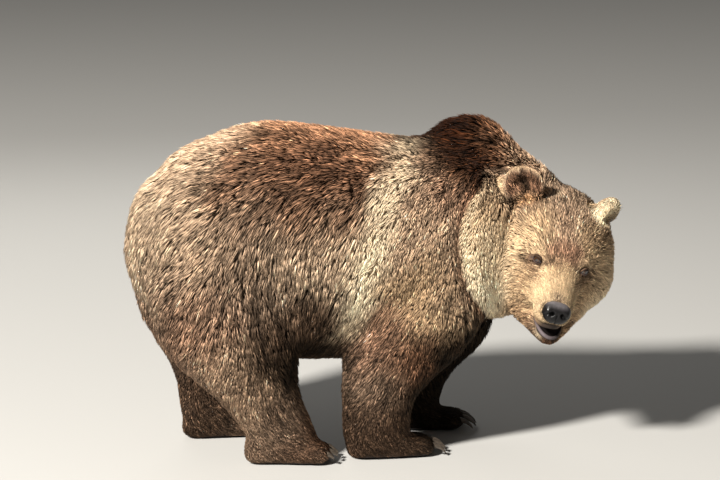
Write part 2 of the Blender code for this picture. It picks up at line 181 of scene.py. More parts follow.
def smoothed(values, links, rounds, keep=0.0):
    """Values at a mesh's points, each drawn towards the mean of its neighbours'."""
    a, b = links[:, 0], links[:, 1]
    count = np.bincount(np.concatenate([a, b]), minlength=len(values))[:, None]
    for _ in range(rounds):
        total = np.zeros_like(values)
        for axis in range(values.shape[1]):
            total[:, axis] = np.bincount(a, values[b, axis], len(values))
            total[:, axis] += np.bincount(b, values[a, axis], len(values))
        values = keep * values + (1 - keep) * total / np.maximum(count, 1)
    return values


def remeshed(thing, voxel):
    """The outside of everything in an object as one closed mesh."""
    modifier = thing.modifiers.new("one skin", "REMESH")
    modifier.mode = "VOXEL"
    modifier.voxel_size = voxel
    bpy.context.view_layer.update()
    whole = bpy.data.meshes.new_from_object(
        thing.evaluated_get(bpy.context.evaluated_depsgraph_get())
    )
    made = bpy.data.objects.new(thing.name, whole)
    bpy.context.scene.collection.objects.link(made)
    bpy.data.objects.remove(thing)
    return made


# ---------------------------------------------------------------- camera

CAMERA_HUB = Vector((-0.12927, 0.05516, 0.55))  # the place that the camera stands off from
CAMERA_TURN, CAMERA_RISE = math.radians(-10), math.radians(11)
CAMERA_AWAY = 7.94
LOOK_ACROSS, LOOK_ABOVE = 0.1106, 0.0665  # how far beside the hub it looks
LENS, SENSOR = 135, 36


def look_from():
    """The camera: about 8 m off on the bear's right, a little behind it and above it."""
    back = Vector((
        math.sin(CAMERA_TURN) * math.cos(CAMERA_RISE),
        -math.cos(CAMERA_TURN) * math.cos(CAMERA_RISE),
        math.sin(CAMERA_RISE),
    ))
    right = Vector((math.cos(CAMERA_TURN), math.sin(CAMERA_TURN), 0))
    up = back.cross(right)
    place = CAMERA_HUB + back * CAMERA_AWAY
    look = CAMERA_HUB + right * LOOK_ACROSS + up * LOOK_ABOVE
    data = bpy.data.cameras.new("camera")
    data.lens = LENS
    data.sensor_width = SENSOR
    data.clip_end = 60
    camera = bpy.data.objects.new("camera", data)
    camera.location = place
    camera.rotation_euler = (look - place).to_track_quat("-Z", "Y").to_euler()
    bpy.context.scene.collection.objects.link(camera)
    bpy.context.scene.camera = camera


# ---------------------------------------------------------------- how the coat lies

EAR_FOOT = (-0.052, 0.110, 0.106)
EAR_SET = {  # leaning out, turned out, set outwards and up, then its half height
    1: (4, 47, 0.000, -0.0205, 0.0610),
    -1: (34, 10, 0.004, 0.007, 0.0706),
}
EAR_COAT = {1: (0.0065, 0.021), -1: (0.0036, 0.017)}  # how thick it is and how long its hair


def ear_frame(side):
    """An ear's foot and its own axes: x out of the cup, y across, z to the tip."""
    lean, turn, out, rise, _ = EAR_SET[side]
    x, y, z = EAR_FOOT
    foot = from_head(np.array([(x, side * (y + out), z + rise)]))[0]
    axes = (
        HEAD_TURN
        @ Matrix.Rotation(math.radians(-side * lean), 3, "X")
        @ Matrix.Rotation(math.radians(side * turn), 3, "Z")
    )
    return foot, np.array(axes)


def in_ear(points, side):
    """1 on one ear, fading to 0 over its foot, and the points in the ear's own frame."""
    foot, axes = ear_frame(side)
    high = EAR_SET[side][4]
    local = (points - foot) @ axes
    round_it = np.linalg.norm((local - (0, 0, 0.79 * high)) / (0.050, high, high * 1.12), axis=1)
    return ramp(round_it, 1.20, 1.0) * ramp(local[:, 2], 0.004, 0.034), local


RUFF_LINE = (  # the ruff's edge on the bear's right: its height and how far forward it lies
    (0.360, 0.420), (0.391, 0.363), (0.461, 0.294), (0.512, 0.258), (0.581, 0.241),
    (0.640, 0.237), (0.694, 0.241), (0.750, 0.262), (0.800, 0.300), (0.850, 0.350),
)


def past_ruff(points):
    """How far forward of the ruff's edge each point lies, on the bear's right."""
    heights, fronts = np.array(RUFF_LINE).T
    return points[:, 0] - np.interp(points[:, 2], heights, fronts)


def beside_ruff(points):
    """1 on the bear's right where the ruff's edge stands off the neck."""
    beside = ramp(points[:, 1], -0.02, -0.08) * ramp(points[:, 2], 0.40, 0.46)
    return beside * ramp(points[:, 2], 0.82, 0.74)


def in_ruff(points):
    """1 on the cheek's ruff where it lies over the neck's right side."""
    beside = ramp(points[:, 1], 0.00, -0.06)
    level = ramp(points[:, 2], 0.36, 0.42) * ramp(points[:, 2], 0.84, 0.76)
    return ramp(past_ruff(points), -0.006, 0.010) * beside * level


# A place on the bear, the way its hair lies there, how far the row reaches,
# then how thick the coat is and how long its hair, in millimetres.
BODY_LIE = (
    ((0.40, 0.02, 0.90), (-0.8, -0.1, 0.15), 0.08, 24, 40),
    ((0.30, 0.03, 0.97), (-0.6, 0.0, 0.45), 0.06, 28, 50),
    ((0.31, -0.06, 0.90), (-0.6, -0.3, -0.3), 0.06, 26, 46),
    ((0.14, 0.04, 0.93), (-0.95, 0.0, -0.05), 0.09, 26, 44),
    ((-0.04, -0.06, 0.92), (-1.0, -0.1, -0.1), 0.10, 25, 44),
    ((-0.27, -0.05, 0.95), (-1.0, -0.1, -0.1), 0.10, 25, 44),
    ((-0.50, 0.02, 0.92), (-0.85, 0.0, -0.4), 0.10, 27, 48),
    ((-0.60, -0.14, 0.78), (-0.75, -0.1, -0.60), 0.10, 28, 52),
    ((-0.69, -0.04, 0.68), (-0.35, 0.0, -0.93), 0.10, 28, 54),
    ((-0.66, -0.14, 0.50), (-0.45, 0.0, -0.88), 0.10, 27, 50),
    ((-0.24, -0.21, 0.81), (-0.80, -0.1, -0.50), 0.08, 25, 46),
    ((-0.50, -0.20, 0.74), (-0.75, 0.0, -0.65), 0.08, 26, 50),
    ((-0.39, -0.23, 0.70), (-0.50, 0.0, -0.85), 0.06, 26, 50),
    ((-0.52, -0.22, 0.60), (-0.62, 0.0, -0.78), 0.08, 27, 50),
    ((-0.42, -0.24, 0.58), (-0.20, 0.0, -0.98), 0.06, 27, 50),
    ((-0.34, -0.24, 0.56), (0.10, 0.0, -0.99), 0.06, 27, 52),
    ((-0.30, -0.24, 0.68), (-0.25, 0.0, -0.95), 0.06, 27, 52),
    ((-0.22, -0.26, 0.65), (-0.35, 0.0, -0.92), 0.06, 27, 52),
    ((-0.24, -0.24, 0.52), (-0.10, 0.0, -0.99), 0.07, 27, 52),
    ((-0.38, -0.23, 0.46), (0.10, 0.0, -0.99), 0.06, 27, 52),
    ((-0.14, -0.24, 0.55), (-0.40, 0.0, -0.92), 0.07, 27, 52),
    ((-0.19, -0.21, 0.43), (-0.20, 0.1, -0.97), 0.08, 27, 50),
    ((-0.17, -0.10, 0.36), (-0.4, 0.1, -0.85), 0.08, 24, 44),
    ((-0.15, 0.055, 0.34), (-0.8, 0.0, -0.5), 0.10, 20, 40),
    ((-0.33, -0.21, 0.37), (0.45, -0.1, -0.85), 0.05, 24, 44),
    ((-0.40, -0.21, 0.32), (0.05, 0.0, -1.0), 0.06, 16, 32),
    ((-0.56, -0.22, 0.42), (-0.35, 0.0, -0.93), 0.09, 22, 42),
    ((-0.50, -0.21, 0.30), (-0.25, 0.0, -0.97), 0.06, 15, 30),
    ((-0.42, -0.20, 0.22), (-0.10, 0.0, -1.0), 0.05, 12, 26),
    ((-0.34, -0.19, 0.20), (0.35, 0.0, -0.93), 0.05, 12, 26),
    ((-0.47, -0.17, 0.14), (-0.3, 0.0, -0.95), 0.05, 12, 24),
    ((-0.33, -0.17, 0.09), (0.6, -0.1, -0.8), 0.05, 7, 17),
    ((-0.27, -0.15, 0.05), (0.85, -0.05, -0.5), 0.05, 5, 13),
    ((-0.36, 0.22, 0.09), (0.75, 0.0, -0.6), 0.06, 6, 16),
    ((0.15, -0.13, 0.84), (-0.75, -0.1, -0.60), 0.08, 21, 34),
    ((0.12, -0.22, 0.69), (-0.60, 0.0, -0.78), 0.08, 21, 33),
    ((0.13, -0.22, 0.51), (-0.42, 0.0, -0.90), 0.08, 21, 33),
    ((0.04, -0.16, 0.83), (-0.62, -0.1, -0.75), 0.05, 25, 42),
    ((-0.01, -0.23, 0.72), (-0.45, -0.1, -0.85), 0.05, 26, 46),
    ((-0.05, -0.25, 0.56), (-0.38, 0.0, -0.92), 0.05, 26, 46),
    ((-0.09, -0.22, 0.45), (-0.40, 0.0, -0.92), 0.05, 25, 46),
    ((0.22, -0.17, 0.79), (-0.40, -0.3, -0.75), 0.06, 22, 32),
    ((0.21, -0.21, 0.65), (-0.35, 0.0, -0.93), 0.05, 22, 33),
    ((0.22, -0.22, 0.50), (-0.20, 0.0, -0.97), 0.05, 22, 35),
    ((0.30, -0.19, 0.76), (-0.35, -0.2, -0.80), 0.05, 20, 32),
    ((0.28, -0.21, 0.66), (-0.20, 0.0, -0.95), 0.05, 20, 34),
    ((0.28, -0.20, 0.56), (-0.05, 0.0, -1.0), 0.05, 20, 34),
    ((0.33, -0.18, 0.47), (0.15, 0.0, -0.95), 0.05, 20, 34),
    ((0.05, -0.22, 0.40), (-0.55, 0.0, -0.83), 0.07, 17, 30),
    ((-0.04, -0.21, 0.37), (-0.65, 0.0, -0.75), 0.06, 16, 30),
    ((-0.02, -0.20, 0.27), (-0.68, 0.0, -0.73), 0.06, 14, 27),
    ((-0.05, -0.18, 0.17), (-0.55, 0.0, -0.83), 0.05, 12, 24),
    ((0.10, -0.20, 0.30), (-0.30, 0.0, -0.95), 0.06, 15, 28),
    ((0.06, -0.19, 0.16), (-0.20, 0.0, -0.98), 0.05, 11, 22),
    ((0.03, -0.13, 0.07), (0.7, -0.05, -0.7), 0.05, 6, 16),
    ((0.12, -0.12, 0.04), (0.85, 0.0, -0.5), 0.05, 5, 12),
    ((0.19, 0.21, 0.25), (0.0, 0.0, -1.0), 0.06, 14, 28),
    ((0.19, 0.21, 0.13), (0.2, 0.0, -1.0), 0.05, 9, 20),
    ((0.27, 0.21, 0.05), (0.85, 0.0, -0.5), 0.05, 5, 12),
    ((0.36, 0.06, 0.40), (-0.15, 0.0, -0.98), 0.09, 24, 44),
    ((0.35, 0.15, 0.28), (0.0, 0.0, -1.0), 0.07, 22, 40),
    ((0.42, 0.00, 0.52), (-0.4, 0.0, -0.9), 0.08, 26, 46),
    ((0.45, 0.10, 0.75), (-0.5, 0.4, -0.7), 0.08, 26, 44),
)
# The same for the head, in its own frame. Rows off the middle are mirrored.
HEAD_LIE = (
    ((0.240, 0.000, 0.000), (-1.0, 0.0, 0.1), 0.020, 2.5, 6),
    ((0.185, 0.000, 0.012), (-1.0, 0.0, 0.15), 0.030, 4.5, 9),
    ((0.125, 0.000, 0.060), (-0.85, 0.0, 0.55), 0.025, 8, 14),
    ((0.060, 0.000, 0.115), (-0.75, 0.0, 0.65), 0.035, 12, 21),
    ((0.060, 0.080, 0.100), (-0.7, 0.4, 0.55), 0.035, 12, 22),
    ((-0.030, 0.000, 0.158), (-1.0, 0.0, 0.1), 0.050, 16, 28),
    ((0.045, 0.130, 0.060), (-0.5, 0.8, -0.2), 0.040, 13, 25),
    ((0.200, 0.055, -0.035), (-1.0, 0.25, -0.05), 0.035, 4, 8),
    ((0.190, 0.050, -0.085), (-0.85, 0.2, -0.45), 0.030, 4, 9),
    ((0.235, 0.030, -0.075), (-0.7, 0.3, -0.6), 0.020, 3, 7),
    ((0.125, 0.090, -0.030), (-0.8, 0.55, -0.15), 0.030, 8, 15),
    ((0.070, 0.150, -0.030), (-0.45, 0.6, -0.55), 0.045, 15, 28),
    ((0.090, 0.120, -0.110), (-0.45, 0.5, -0.75), 0.045, 14, 28),
    ((0.000, 0.185, 0.000), (-0.5, 0.5, -0.7), 0.060, 20, 38),
    ((0.030, 0.150, -0.130), (-0.5, 0.4, -0.8), 0.050, 19, 38),
    ((0.222, 0.018, -0.172), (-0.5, 0.0, -0.85), 0.018, 3, 8),
    ((0.195, 0.040, -0.145), (-0.6, 0.4, -0.65), 0.018, 3.5, 9),
    ((0.100, 0.000, -0.190), (-0.9, 0.0, -0.4), 0.050, 13, 28),
    ((0.000, 0.000, -0.200), (-0.9, 0.0, -0.4), 0.060, 22, 42),
    ((-0.060, 0.125, 0.200), (-0.3, 0.3, 0.9), 0.035, 5, 14),
    ((-0.010, 0.100, 0.125), (-0.4, 0.25, 0.85), 0.030, 11, 24),
    ((-0.120, 0.000, 0.100), (-1.0, 0.0, -0.2), 0.080, 24, 42),
)


def lie_tables():
    """The rows of the body and of the head as arrays, with those off the middle mirrored."""
    packed = []
    for rows, middle, least in ((BODY_LIE, MIDDLE_Y, 0.02), (HEAD_LIE, 0.0, 0.0)):
        both = []
        for (x, y, z), way, *others in rows:
            both.append(((x, y, z), way, *others))
            if abs(y - middle) > least:
                both.append(((x, 2 * middle - y, z), (way[0], -way[1], way[2]), *others))
        places = np.array([row[0] for row in both], float)
        reaches = np.array([row[2] for row in both], float)
        ways = unit(np.array([row[1] for row in both], float))
        sizes = np.array([row[3:] for row in both], float) / 1000
        packed.append((places, reaches, np.hstack([ways, sizes])))
    return packed


BODY_TABLE, HEAD_TABLE = lie_tables()


def on_head(points):
    """1 on the head, 0 on the neck and beyond."""
    through = np.array((0.533, 0.010, 0.620))
    way = unit(np.array((0.76, -0.65, -0.10)))
    return ramp((points - through) @ way, -0.045, 0.03)


def eye_gap(points):
    """How far each point is from the nearer eye's middle."""
    local = to_head(points)
    local[:, 1] = np.abs(local[:, 1])
    return np.linalg.norm(local - np.array(EYE_AT), axis=1)


def mouth_inside(points):
    """1 between the lips and inside the mouth."""
    local = to_head(points)
    x, y, z = local.T
    loop = (np.abs(x - 0.145) / 0.082) ** 3 + (np.abs(y - 0.017) / 0.040) ** 3
    floor = -0.152 + 0.20 * np.clip(0.225 - x, 0, 0.06)
    return ramp(loop, 1.12, 0.92) * ramp(z, floor - 0.003, floor + 0.002) * ramp(z, -0.084, -0.090)


def coat_at(points):
    """The way the hair lies, the coat's thickness and the hair's length."""
    head_share = on_head(points)[:, None]
    places, reaches, values = BODY_TABLE
    body = from_table(points, places, reaches, values)
    places, reaches, values = HEAD_TABLE
    head = from_table(to_head(points), places, reaches, values)
    head[:, :3] = head[:, :3] @ np.array(HEAD_TURN).T
    mixed = body * (1 - head_share) + head * head_share
    by_eye = ramp(eye_gap(points), 0.016, 0.050)
    depth = mixed[:, 3] * (0.15 + 0.85 * by_eye)
    length = mixed[:, 4] * (0.30 + 0.70 * by_eye)
    low = ramp(points[:, 2], 0.002, 0.045)
    depth = depth * (0.2 + 0.8 * low)
    way = mixed[:, :3]
    for side in (1, -1):
        share, local = in_ear(points, side)
        axes = ear_frame(side)[1]
        up = np.array([axes[:, 2]]) + 0.35 * np.sign(local[:, 1:2]) * axes[:, 1]
        way = way * (1 - share)[:, None] + up * share[:, None]
        thick, long = EAR_COAT[side]
        depth = depth + (thick - depth) * share
        length = length + (long - length) * share
    return unit(way), depth, length


# ---------------------------------------------------------------- markings

TONES = {
    "pale": (0.97, 0.840, 0.610),
    "cream": (0.86, 0.700, 0.480),
    "straw": (0.80, 0.600, 0.370),
    "beige": (0.52, 0.385, 0.265),
    "gold": (0.66, 0.475, 0.290),
    "wheat": (0.50, 0.345, 0.205),
    "tan": (0.46, 0.320, 0.215),
    "chestnut": (0.29, 0.165, 0.105),
    "fawn": (0.34, 0.232, 0.155),
    "amber": (0.34, 0.205, 0.108),
    "russet": (0.26, 0.134, 0.074),
    "orange": (0.40, 0.190, 0.065),
    "brown": (0.110, 0.054, 0.030),
    "grey_brown": (0.215, 0.148, 0.102),
    "dark": (0.080, 0.048, 0.030),
    "dark_red": (0.015, 0.004, 0.001),
    "black": (0.014, 0.009, 0.005),
}
# A place, how far its tone reaches, and the tone. All but the middle ones are mirrored.
BODY_MARKS = (
    ((-0.496, 0.020, 0.923), 0.08, "tan"),
    ((-0.603, -0.137, 0.783), 0.11, "beige"),
    ((-0.693, -0.040, 0.682), 0.11, "beige"),
    ((-0.664, -0.145, 0.498), 0.09, "grey_brown"),
    ((-0.374, -0.134, 0.890), 0.06, "brown"),
    ((-0.440, -0.160, 0.800), 0.05, "brown"),
    ((-0.274, -0.049, 0.956), 0.05, "russet"),
    ((-0.042, -0.059, 0.923), 0.06, "russet"),
    ((-0.130, -0.160, 0.860), 0.07, "brown"),
    ((-0.242, -0.207, 0.813), 0.08, "brown"),
    ((-0.389, -0.231, 0.707), 0.08, "grey_brown"),
    ((-0.222, -0.256, 0.649), 0.08, "beige"),
    ((-0.500, -0.190, 0.650), 0.08, "tan"),
    ((-0.390, -0.231, 0.506), 0.08, "grey_brown"),
    # Dark and black low on the flank and under the belly: partly dark hair, partly painted shade.
    ((-0.186, -0.213, 0.436), 0.06, "dark"),
    ((-0.175, -0.120, 0.349), 0.06, "black"),
    ((-0.150, 0.055, 0.330), 0.10, "dark"),
    ((-0.560, -0.220, 0.423), 0.08, "chestnut"),
    ((-0.503, -0.210, 0.303), 0.06, "tan"),
    ((-0.417, -0.234, 0.357), 0.04, "tan"),
    # Dark and black between the hind leg and the belly: partly dark hair, partly painted shade.
    ((-0.330, -0.210, 0.400), 0.05, "dark"),
    ((-0.300, -0.150, 0.330), 0.05, "black"),
    ((-0.417, -0.207, 0.240), 0.05, "fawn"),
    ((-0.420, -0.190, 0.160), 0.05, "tan"),
    ((-0.326, -0.177, 0.081), 0.06, "grey_brown"),
    ((-0.260, -0.100, 0.060), 0.05, "brown"),
    ((0.150, -0.127, 0.846), 0.07, "fawn"),
    ((0.116, -0.222, 0.689), 0.07, "tan"),
    ((0.132, -0.221, 0.514), 0.07, "wheat"),
    ((0.214, -0.169, 0.793), 0.05, "chestnut"),
    ((0.206, -0.210, 0.655), 0.05, "tan"),
    ((0.219, -0.224, 0.512), 0.05, "grey_brown"),
    ((-0.010, -0.207, 0.370), 0.06, "chestnut"),
    ((-0.023, -0.200, 0.251), 0.05, "grey_brown"),
    ((-0.049, -0.183, 0.129), 0.05, "dark"),
    ((0.105, -0.218, 0.309), 0.05, "brown"),
    ((0.060, -0.160, 0.060), 0.06, "dark"),
    # Black and dark on the chest and the far legs: partly dark hair, partly painted shade.
    ((0.353, 0.147, 0.278), 0.08, "black"),
    ((0.360, 0.050, 0.400), 0.08, "dark"),
    ((0.200, 0.200, 0.250), 0.09, "black"),
    ((0.230, 0.200, 0.080), 0.07, "black"),
    ((-0.440, 0.200, 0.200), 0.08, "dark"),
    ((0.302, 0.026, 0.981), 0.08, "dark_red"),
    ((0.230, -0.010, 0.960), 0.06, "dark_red"),
    ((0.310, -0.070, 0.890), 0.08, "dark_red"),
    ((0.250, -0.090, 0.900), 0.06, "dark_red"),
    ((0.395, 0.000, 0.900), 0.04, "russet"),
    ((0.450, 0.040, 0.840), 0.06, "tan"),
)
HEAD_MARKS = (
    ((0.050, 0.086, 0.106), 0.030, "wheat"),
    ((0.076, 0.109, 0.063), 0.025, "gold"),
    ((0.071, 0.000, 0.110), 0.022, "tan"),
    ((0.114, 0.000, 0.069), 0.020, "chestnut"),
    ((0.150, 0.000, 0.035), 0.018, "wheat"),
    ((0.185, 0.000, 0.013), 0.025, "gold"),
    ((0.200, 0.050, -0.030), 0.030, "straw"),
    ((0.200, 0.050, -0.080), 0.025, "straw"),
    ((0.240, 0.000, -0.005), 0.012, "grey_brown"),
    ((0.100, 0.140, 0.000), 0.035, "wheat"),
    ((0.128, 0.103, -0.055), 0.034, "amber"),
    ((0.158, 0.078, -0.085), 0.022, "wheat"),
    ((0.145, 0.082, -0.133), 0.030, "amber"),
    ((-0.006, 0.039, 0.155), 0.035, "tan"),
    ((-0.020, 0.190, 0.000), 0.060, "wheat"),
    ((0.090, 0.190, 0.010), 0.045, "cream"),
    ((0.115, 0.160, -0.090), 0.050, "pale"),
    ((-0.100, 0.120, 0.110), 0.060, "tan"),
    ((0.000, 0.130, -0.170), 0.050, "straw"),
    ((0.100, 0.000, -0.190), 0.050, "fawn"),
    ((0.220, 0.000, -0.172), 0.020, "dark"),
    ((-0.060, 0.125, 0.200), 0.030, "tan"),
)
SHOULDER_BAND = (
    (0.135, 0.000, 0.925), (0.090, -0.104, 0.890), (0.060, -0.164, 0.850), (0.030, -0.205, 0.800),
    (-0.008, -0.245, 0.715), (-0.030, -0.255, 0.635), (-0.042, -0.251, 0.580),
    (-0.070, -0.225, 0.480), (-0.088, -0.185, 0.405),
)


# Lines of the face's marks, in the head's own frame.
BROW_LINE = ((0.125, -0.008, 0.060), (0.10, -0.012, 0.085), (0.03, -0.016, 0.142))
FURROW_SHADE_LINE = ((0.122, -0.002, 0.065), (0.10, 0.002, 0.085), (0.06, 0.004, 0.118))
TEAR_LINE = ((0.126, 0.054, 0.026), (0.134, 0.042, 0.034), (0.128, 0.034, 0.048))
RIGHT_CREASE_SHADE = ((0.161, -0.075, -0.085), (0.173, -0.049, -0.134), (0.202, -0.027, -0.150))
LEFT_CREASE_SHADE = ((0.156, 0.092, -0.085), (0.170, 0.082, -0.130))
LIP_HAIR_LINE = ((0.182, -0.048, -0.122), (0.205, -0.030, -0.143), (0.226, -0.008, -0.155))
UNDER_EAR_LINE = ((-0.035, -0.162, 0.104), (0.000, -0.182, 0.106), (0.036, -0.202, 0.096))


def mark_tables():
    """The marks of the body and of the head as arrays, both sides."""
    packed = []
    for rows, middle in ((BODY_MARKS, MIDDLE_Y), (HEAD_MARKS, 0.0)):
        places, reaches, tones = [], [], []
        for place, reach, tone in rows:
            x, y, z = place
            spots = [place] if abs(y - middle) < 0.02 else [place, (x, 2 * middle - y, z)]
            for spot in spots:
                places.append(spot)
                reaches.append(reach)
                tones.append(np.sqrt(TONES[tone]))
        packed.append((np.array(places), np.array(reaches), np.array(tones)))
    return packed


BODY_TONES, HEAD_TONES = mark_tables()


def towards_colour(colour, goal, share):
    """Colours drawn towards a goal by a share for each point."""
    return colour + (np.array(goal) - colour) * np.clip(share, 0, 1)[:, None]


def towards(colour, tone, share):
    """Colours drawn towards one of the tones by a share for each point."""
    return towards_colour(colour, TONES[tone], share)


def body_markings(points):
    """The colour of the trunk, the neck and the legs, with a pale band over each shoulder."""
    places, reaches, tones = BODY_TONES
    wander = np.stack([ripple(points, 0.11, seed) for seed in (1, 2, 3)], axis=1) * 0.018
    body = from_table(points + wander, places, reaches, tones) ** 2
    left = points.copy()
    left[:, 1] = 2 * MIDDLE_Y - left[:, 1]
    band = np.maximum(
        along_line(points + wander * 0.4, SHOULDER_BAND, 0.028),
        along_line(left + wander * 0.4, SHOULDER_BAND, 0.028),
    )
    band = band * (0.90 + 0.10 * ripple(points, 0.06, 5))
    middle = ramp(points[:, 2], 0.42, 0.52) * ramp(points[:, 2], 0.88, 0.78)
    body = towards(body, "cream", (0.7 + 0.6 * middle) * band)
    return towards(body, "pale", middle * band)


def head_markings(points):
    """The face's colour, with darker hair round the eyes and the nose, and painted shade over and beside
    the eyes, in the furrow between the brows and in the creases.
    """
    local = to_head(points)
    places, reaches, tones = HEAD_TONES
    wander = np.stack([ripple(points, 0.05, seed) for seed in (6, 7, 8)], axis=1) * 0.004
    head = from_table(local + wander, places, reaches, tones) ** 2
    folded = local.copy()
    folded[:, 1] = np.abs(folded[:, 1])
    brow = along_line(local, BROW_LINE, 0.020)
    head = towards(head, "chestnut", 0.35 * brow)
    # Painted shade in the furrow between the brows.
    furrow_shade = along_line(local, FURROW_SHADE_LINE, 0.0050)
    head = towards(head, "dark", 0.7 * furrow_shade)
    # Round each eye: painted shade over it under the brow and beside its outer corner, and darker brown
    # hair below it.
    shade_beside_eye = near(folded, (0.114, 0.090, 0.018), (0.022, 0.014, 0.016))
    below_eye = near(folded, (0.134, 0.074, 0.006), (0.020, 0.020, 0.012))
    stain = near(folded, (0.162, 0.060, -0.004), (0.014, 0.012, 0.012))
    head = towards(head, "chestnut", 0.55 * stain)
    shade_over_eye = near(folded, (0.128, 0.066, 0.050), (0.010, 0.016, 0.007))
    eye_hair_and_shade = np.maximum(np.maximum(shade_beside_eye, 0.85 * below_eye), 0.8 * shade_over_eye)
    head = towards(head, "brown", 0.85 * eye_hair_and_shade)
    tear = along_line(folded, TEAR_LINE, 0.0055)
    head = towards(head, "dark", 0.85 * tear)
    philtrum = near(local, (0.262, 0.004, -0.080), (0.020, 0.024, 0.016))
    head = towards(head, "dark", 0.9 * philtrum)
    beside_nose = near(folded, (0.245, 0.040, -0.030), (0.016, 0.014, 0.026))
    head = towards(head, "grey_brown", 0.5 * beside_nose)
    # Painted shade in the creases beside the mouth.
    crease_shade = along_line(local, RIGHT_CREASE_SHADE, 0.008)
    crease_shade = np.maximum(crease_shade, along_line(local, LEFT_CREASE_SHADE, 0.009))
    head = towards(head, "brown", 0.85 * crease_shade)
    lip_hair = along_line(local, LIP_HAIR_LINE, 0.006)
    head = towards(head, "cream", 0.8 * lip_hair)
    chin = near(local, (0.232, 0.022, -0.163), (0.014, 0.024, 0.012))
    return towards(head, "brown", 0.8 * chin)


def markings(points):
    """The coat's colour at each point, for the skin and for the tufts alike."""
    share = np.maximum(on_head(points), in_ruff(points))[:, None]
    mixed = body_markings(points) * (1 - share) + head_markings(points) * share
    past, beside = past_ruff(points), beside_ruff(points)
    mixed = towards(mixed, "cream", 0.8 * beside * np.exp(-((past - 0.012) / 0.008) ** 2))
    # Painted shadow: brown on the neck just behind the ruff's edge, where the ruff shades it.
    mixed = towards(mixed, "brown", 0.65 * beside * np.exp(-((past + 0.018) / 0.014) ** 2))
    for side in (1, -1):
        mixed = ear_markings(points, mixed, side)
    return mixed


EAR_TONES = {1: ("pale", "wheat", "cream", "pale"), -1: ("fawn", "fawn", "brown", "gold")}


def ear_markings(points, colour, side):
    """A pale rim round each ear; in the right ear a brown cup, partly dark hair and partly painted shade in
    its hollow, with a dark slit of painted shade; painted shade low on the left ear.
    """
    share, local = in_ear(points, side)
    x, y, z = local.T
    whole_tone, back_tone, cup_tone, rim_tone = EAR_TONES[side]
    colour = towards(colour, whole_tone, 0.85 * share)
    colour = towards(colour, back_tone, 0.85 * share * ramp(x, -0.004, -0.022))
    cup = np.sqrt((y / 0.050) ** 2 + ((z - 0.052) / 0.056) ** 2)
    inside = share * ramp(x, -0.022, -0.010) * ramp(cup, 1.12, 0.90)
    colour = towards(colour, cup_tone, 0.9 * inside)
    if side > 0:
        # Painted shade on the left ear's lower side.
        under = near(local, (0.012, 0.026, 0.022), (0.020, 0.014, 0.018))
        colour = towards(colour, "brown", 0.55 * under)
    else:
        # Painted shade: a black slit where the ear opens deep in its cup.
        slit = near(local, (0.0, 0.002, 0.048), (0.030, 0.008, 0.034)) * inside
        colour = towards(colour, "black", 0.95 * slit)
    rim = share * ramp(cup, 1.04, 1.20) * ramp(x, -0.026, -0.014)
    colour = towards(colour, rim_tone, 0.75 * rim)
    foot = near(local, (0.012, 0.000, 0.004), (0.020, 0.034, 0.011))
    colour = towards(colour, "orange", 0.75 * foot)
    if side < 0:
        ahead = to_head(points)
        low = along_line(ahead, UNDER_EAR_LINE, 0.011)
        inner = near(ahead, (-0.045, -0.080, 0.143), (0.018, 0.013, 0.018))
        colour = towards(colour, "dark_red", 0.85 * np.maximum(low, inner))
    return colour


# ---------------------------------------------------------------- the skin


def joined_flesh():
    """The flesh nodes' meshes in one object, as they stand."""
    whole = bmesh.new()
    for name in FLESH:
        whole.from_mesh(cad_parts[name].data)
    mesh = bpy.data.meshes.new("skin")
    whole.to_mesh(mesh)
    whole.free()
    thing = bpy.data.objects.new("skin", mesh)
    bpy.context.scene.collection.objects.link(thing)
    return thing


def sunk(thing):
    """The skin drawn in from the tips of the coat by the coat's thickness."""
    mesh = thing.data
    points, links = places_of(mesh), links_of(mesh)
    normals = unit(smoothed(normals_of(mesh), links, 6))
    depth = coat_at(points)[1][:, None]
    depth = smoothed(depth, links, 4)
    past = past_ruff(points)
    fold = 0.012 * np.exp(-((past + 0.016) / 0.014) ** 2)
    fold = fold - 0.010 * np.exp(-((past - 0.024) / 0.022) ** 2)
    depth = depth + (fold * beside_ruff(points))[:, None]
    put_places(mesh, points - normals * depth)


def refined(thing, chosen, model):
    """Faces whose middle is chosen cut in four and laid on a finer model."""
    work = bmesh.new()
    work.from_mesh(thing.data)
    work.faces.ensure_lookup_table()
    middles = np.array([face.calc_center_median() for face in work.faces])
    picked = chosen(middles)
    edges = {edge for face, take in zip(work.faces, picked) if take for edge in face.edges}
    bmesh.ops.subdivide_edges(work, edges=list(edges), cuts=1, use_grid_fill=True)
    work.verts.ensure_lookup_table()
    places = np.array([vert.co for vert in work.verts])
    for index in np.nonzero(chosen(places))[0]:
        vert = work.verts[index]
        vert.co = model.find_nearest(vert.co)[0]
    work.to_mesh(thing.data)
    work.free()


def face_front(points):
    """The part of the head that carries the eyes, the muzzle and the mouth."""
    local = to_head(points)
    ahead = (local[:, 0] > 0.06) & (np.abs(local[:, 1]) < 0.13)
    return ahead & (np.abs(local[:, 2] + 0.03) < 0.16) & (on_head(points) > 0.5)


def whole_head(points):
    """The whole head with its ears, which gets a finer skin than the body."""
    local = to_head(points)
    ears = (local[:, 2] > 0.10) & (local[:, 0] > -0.16) & (np.abs(local[:, 1]) < 0.24)
    return (on_head(points) > 0.15) | (ears & (np.linalg.norm(local, axis=1) < 0.34))


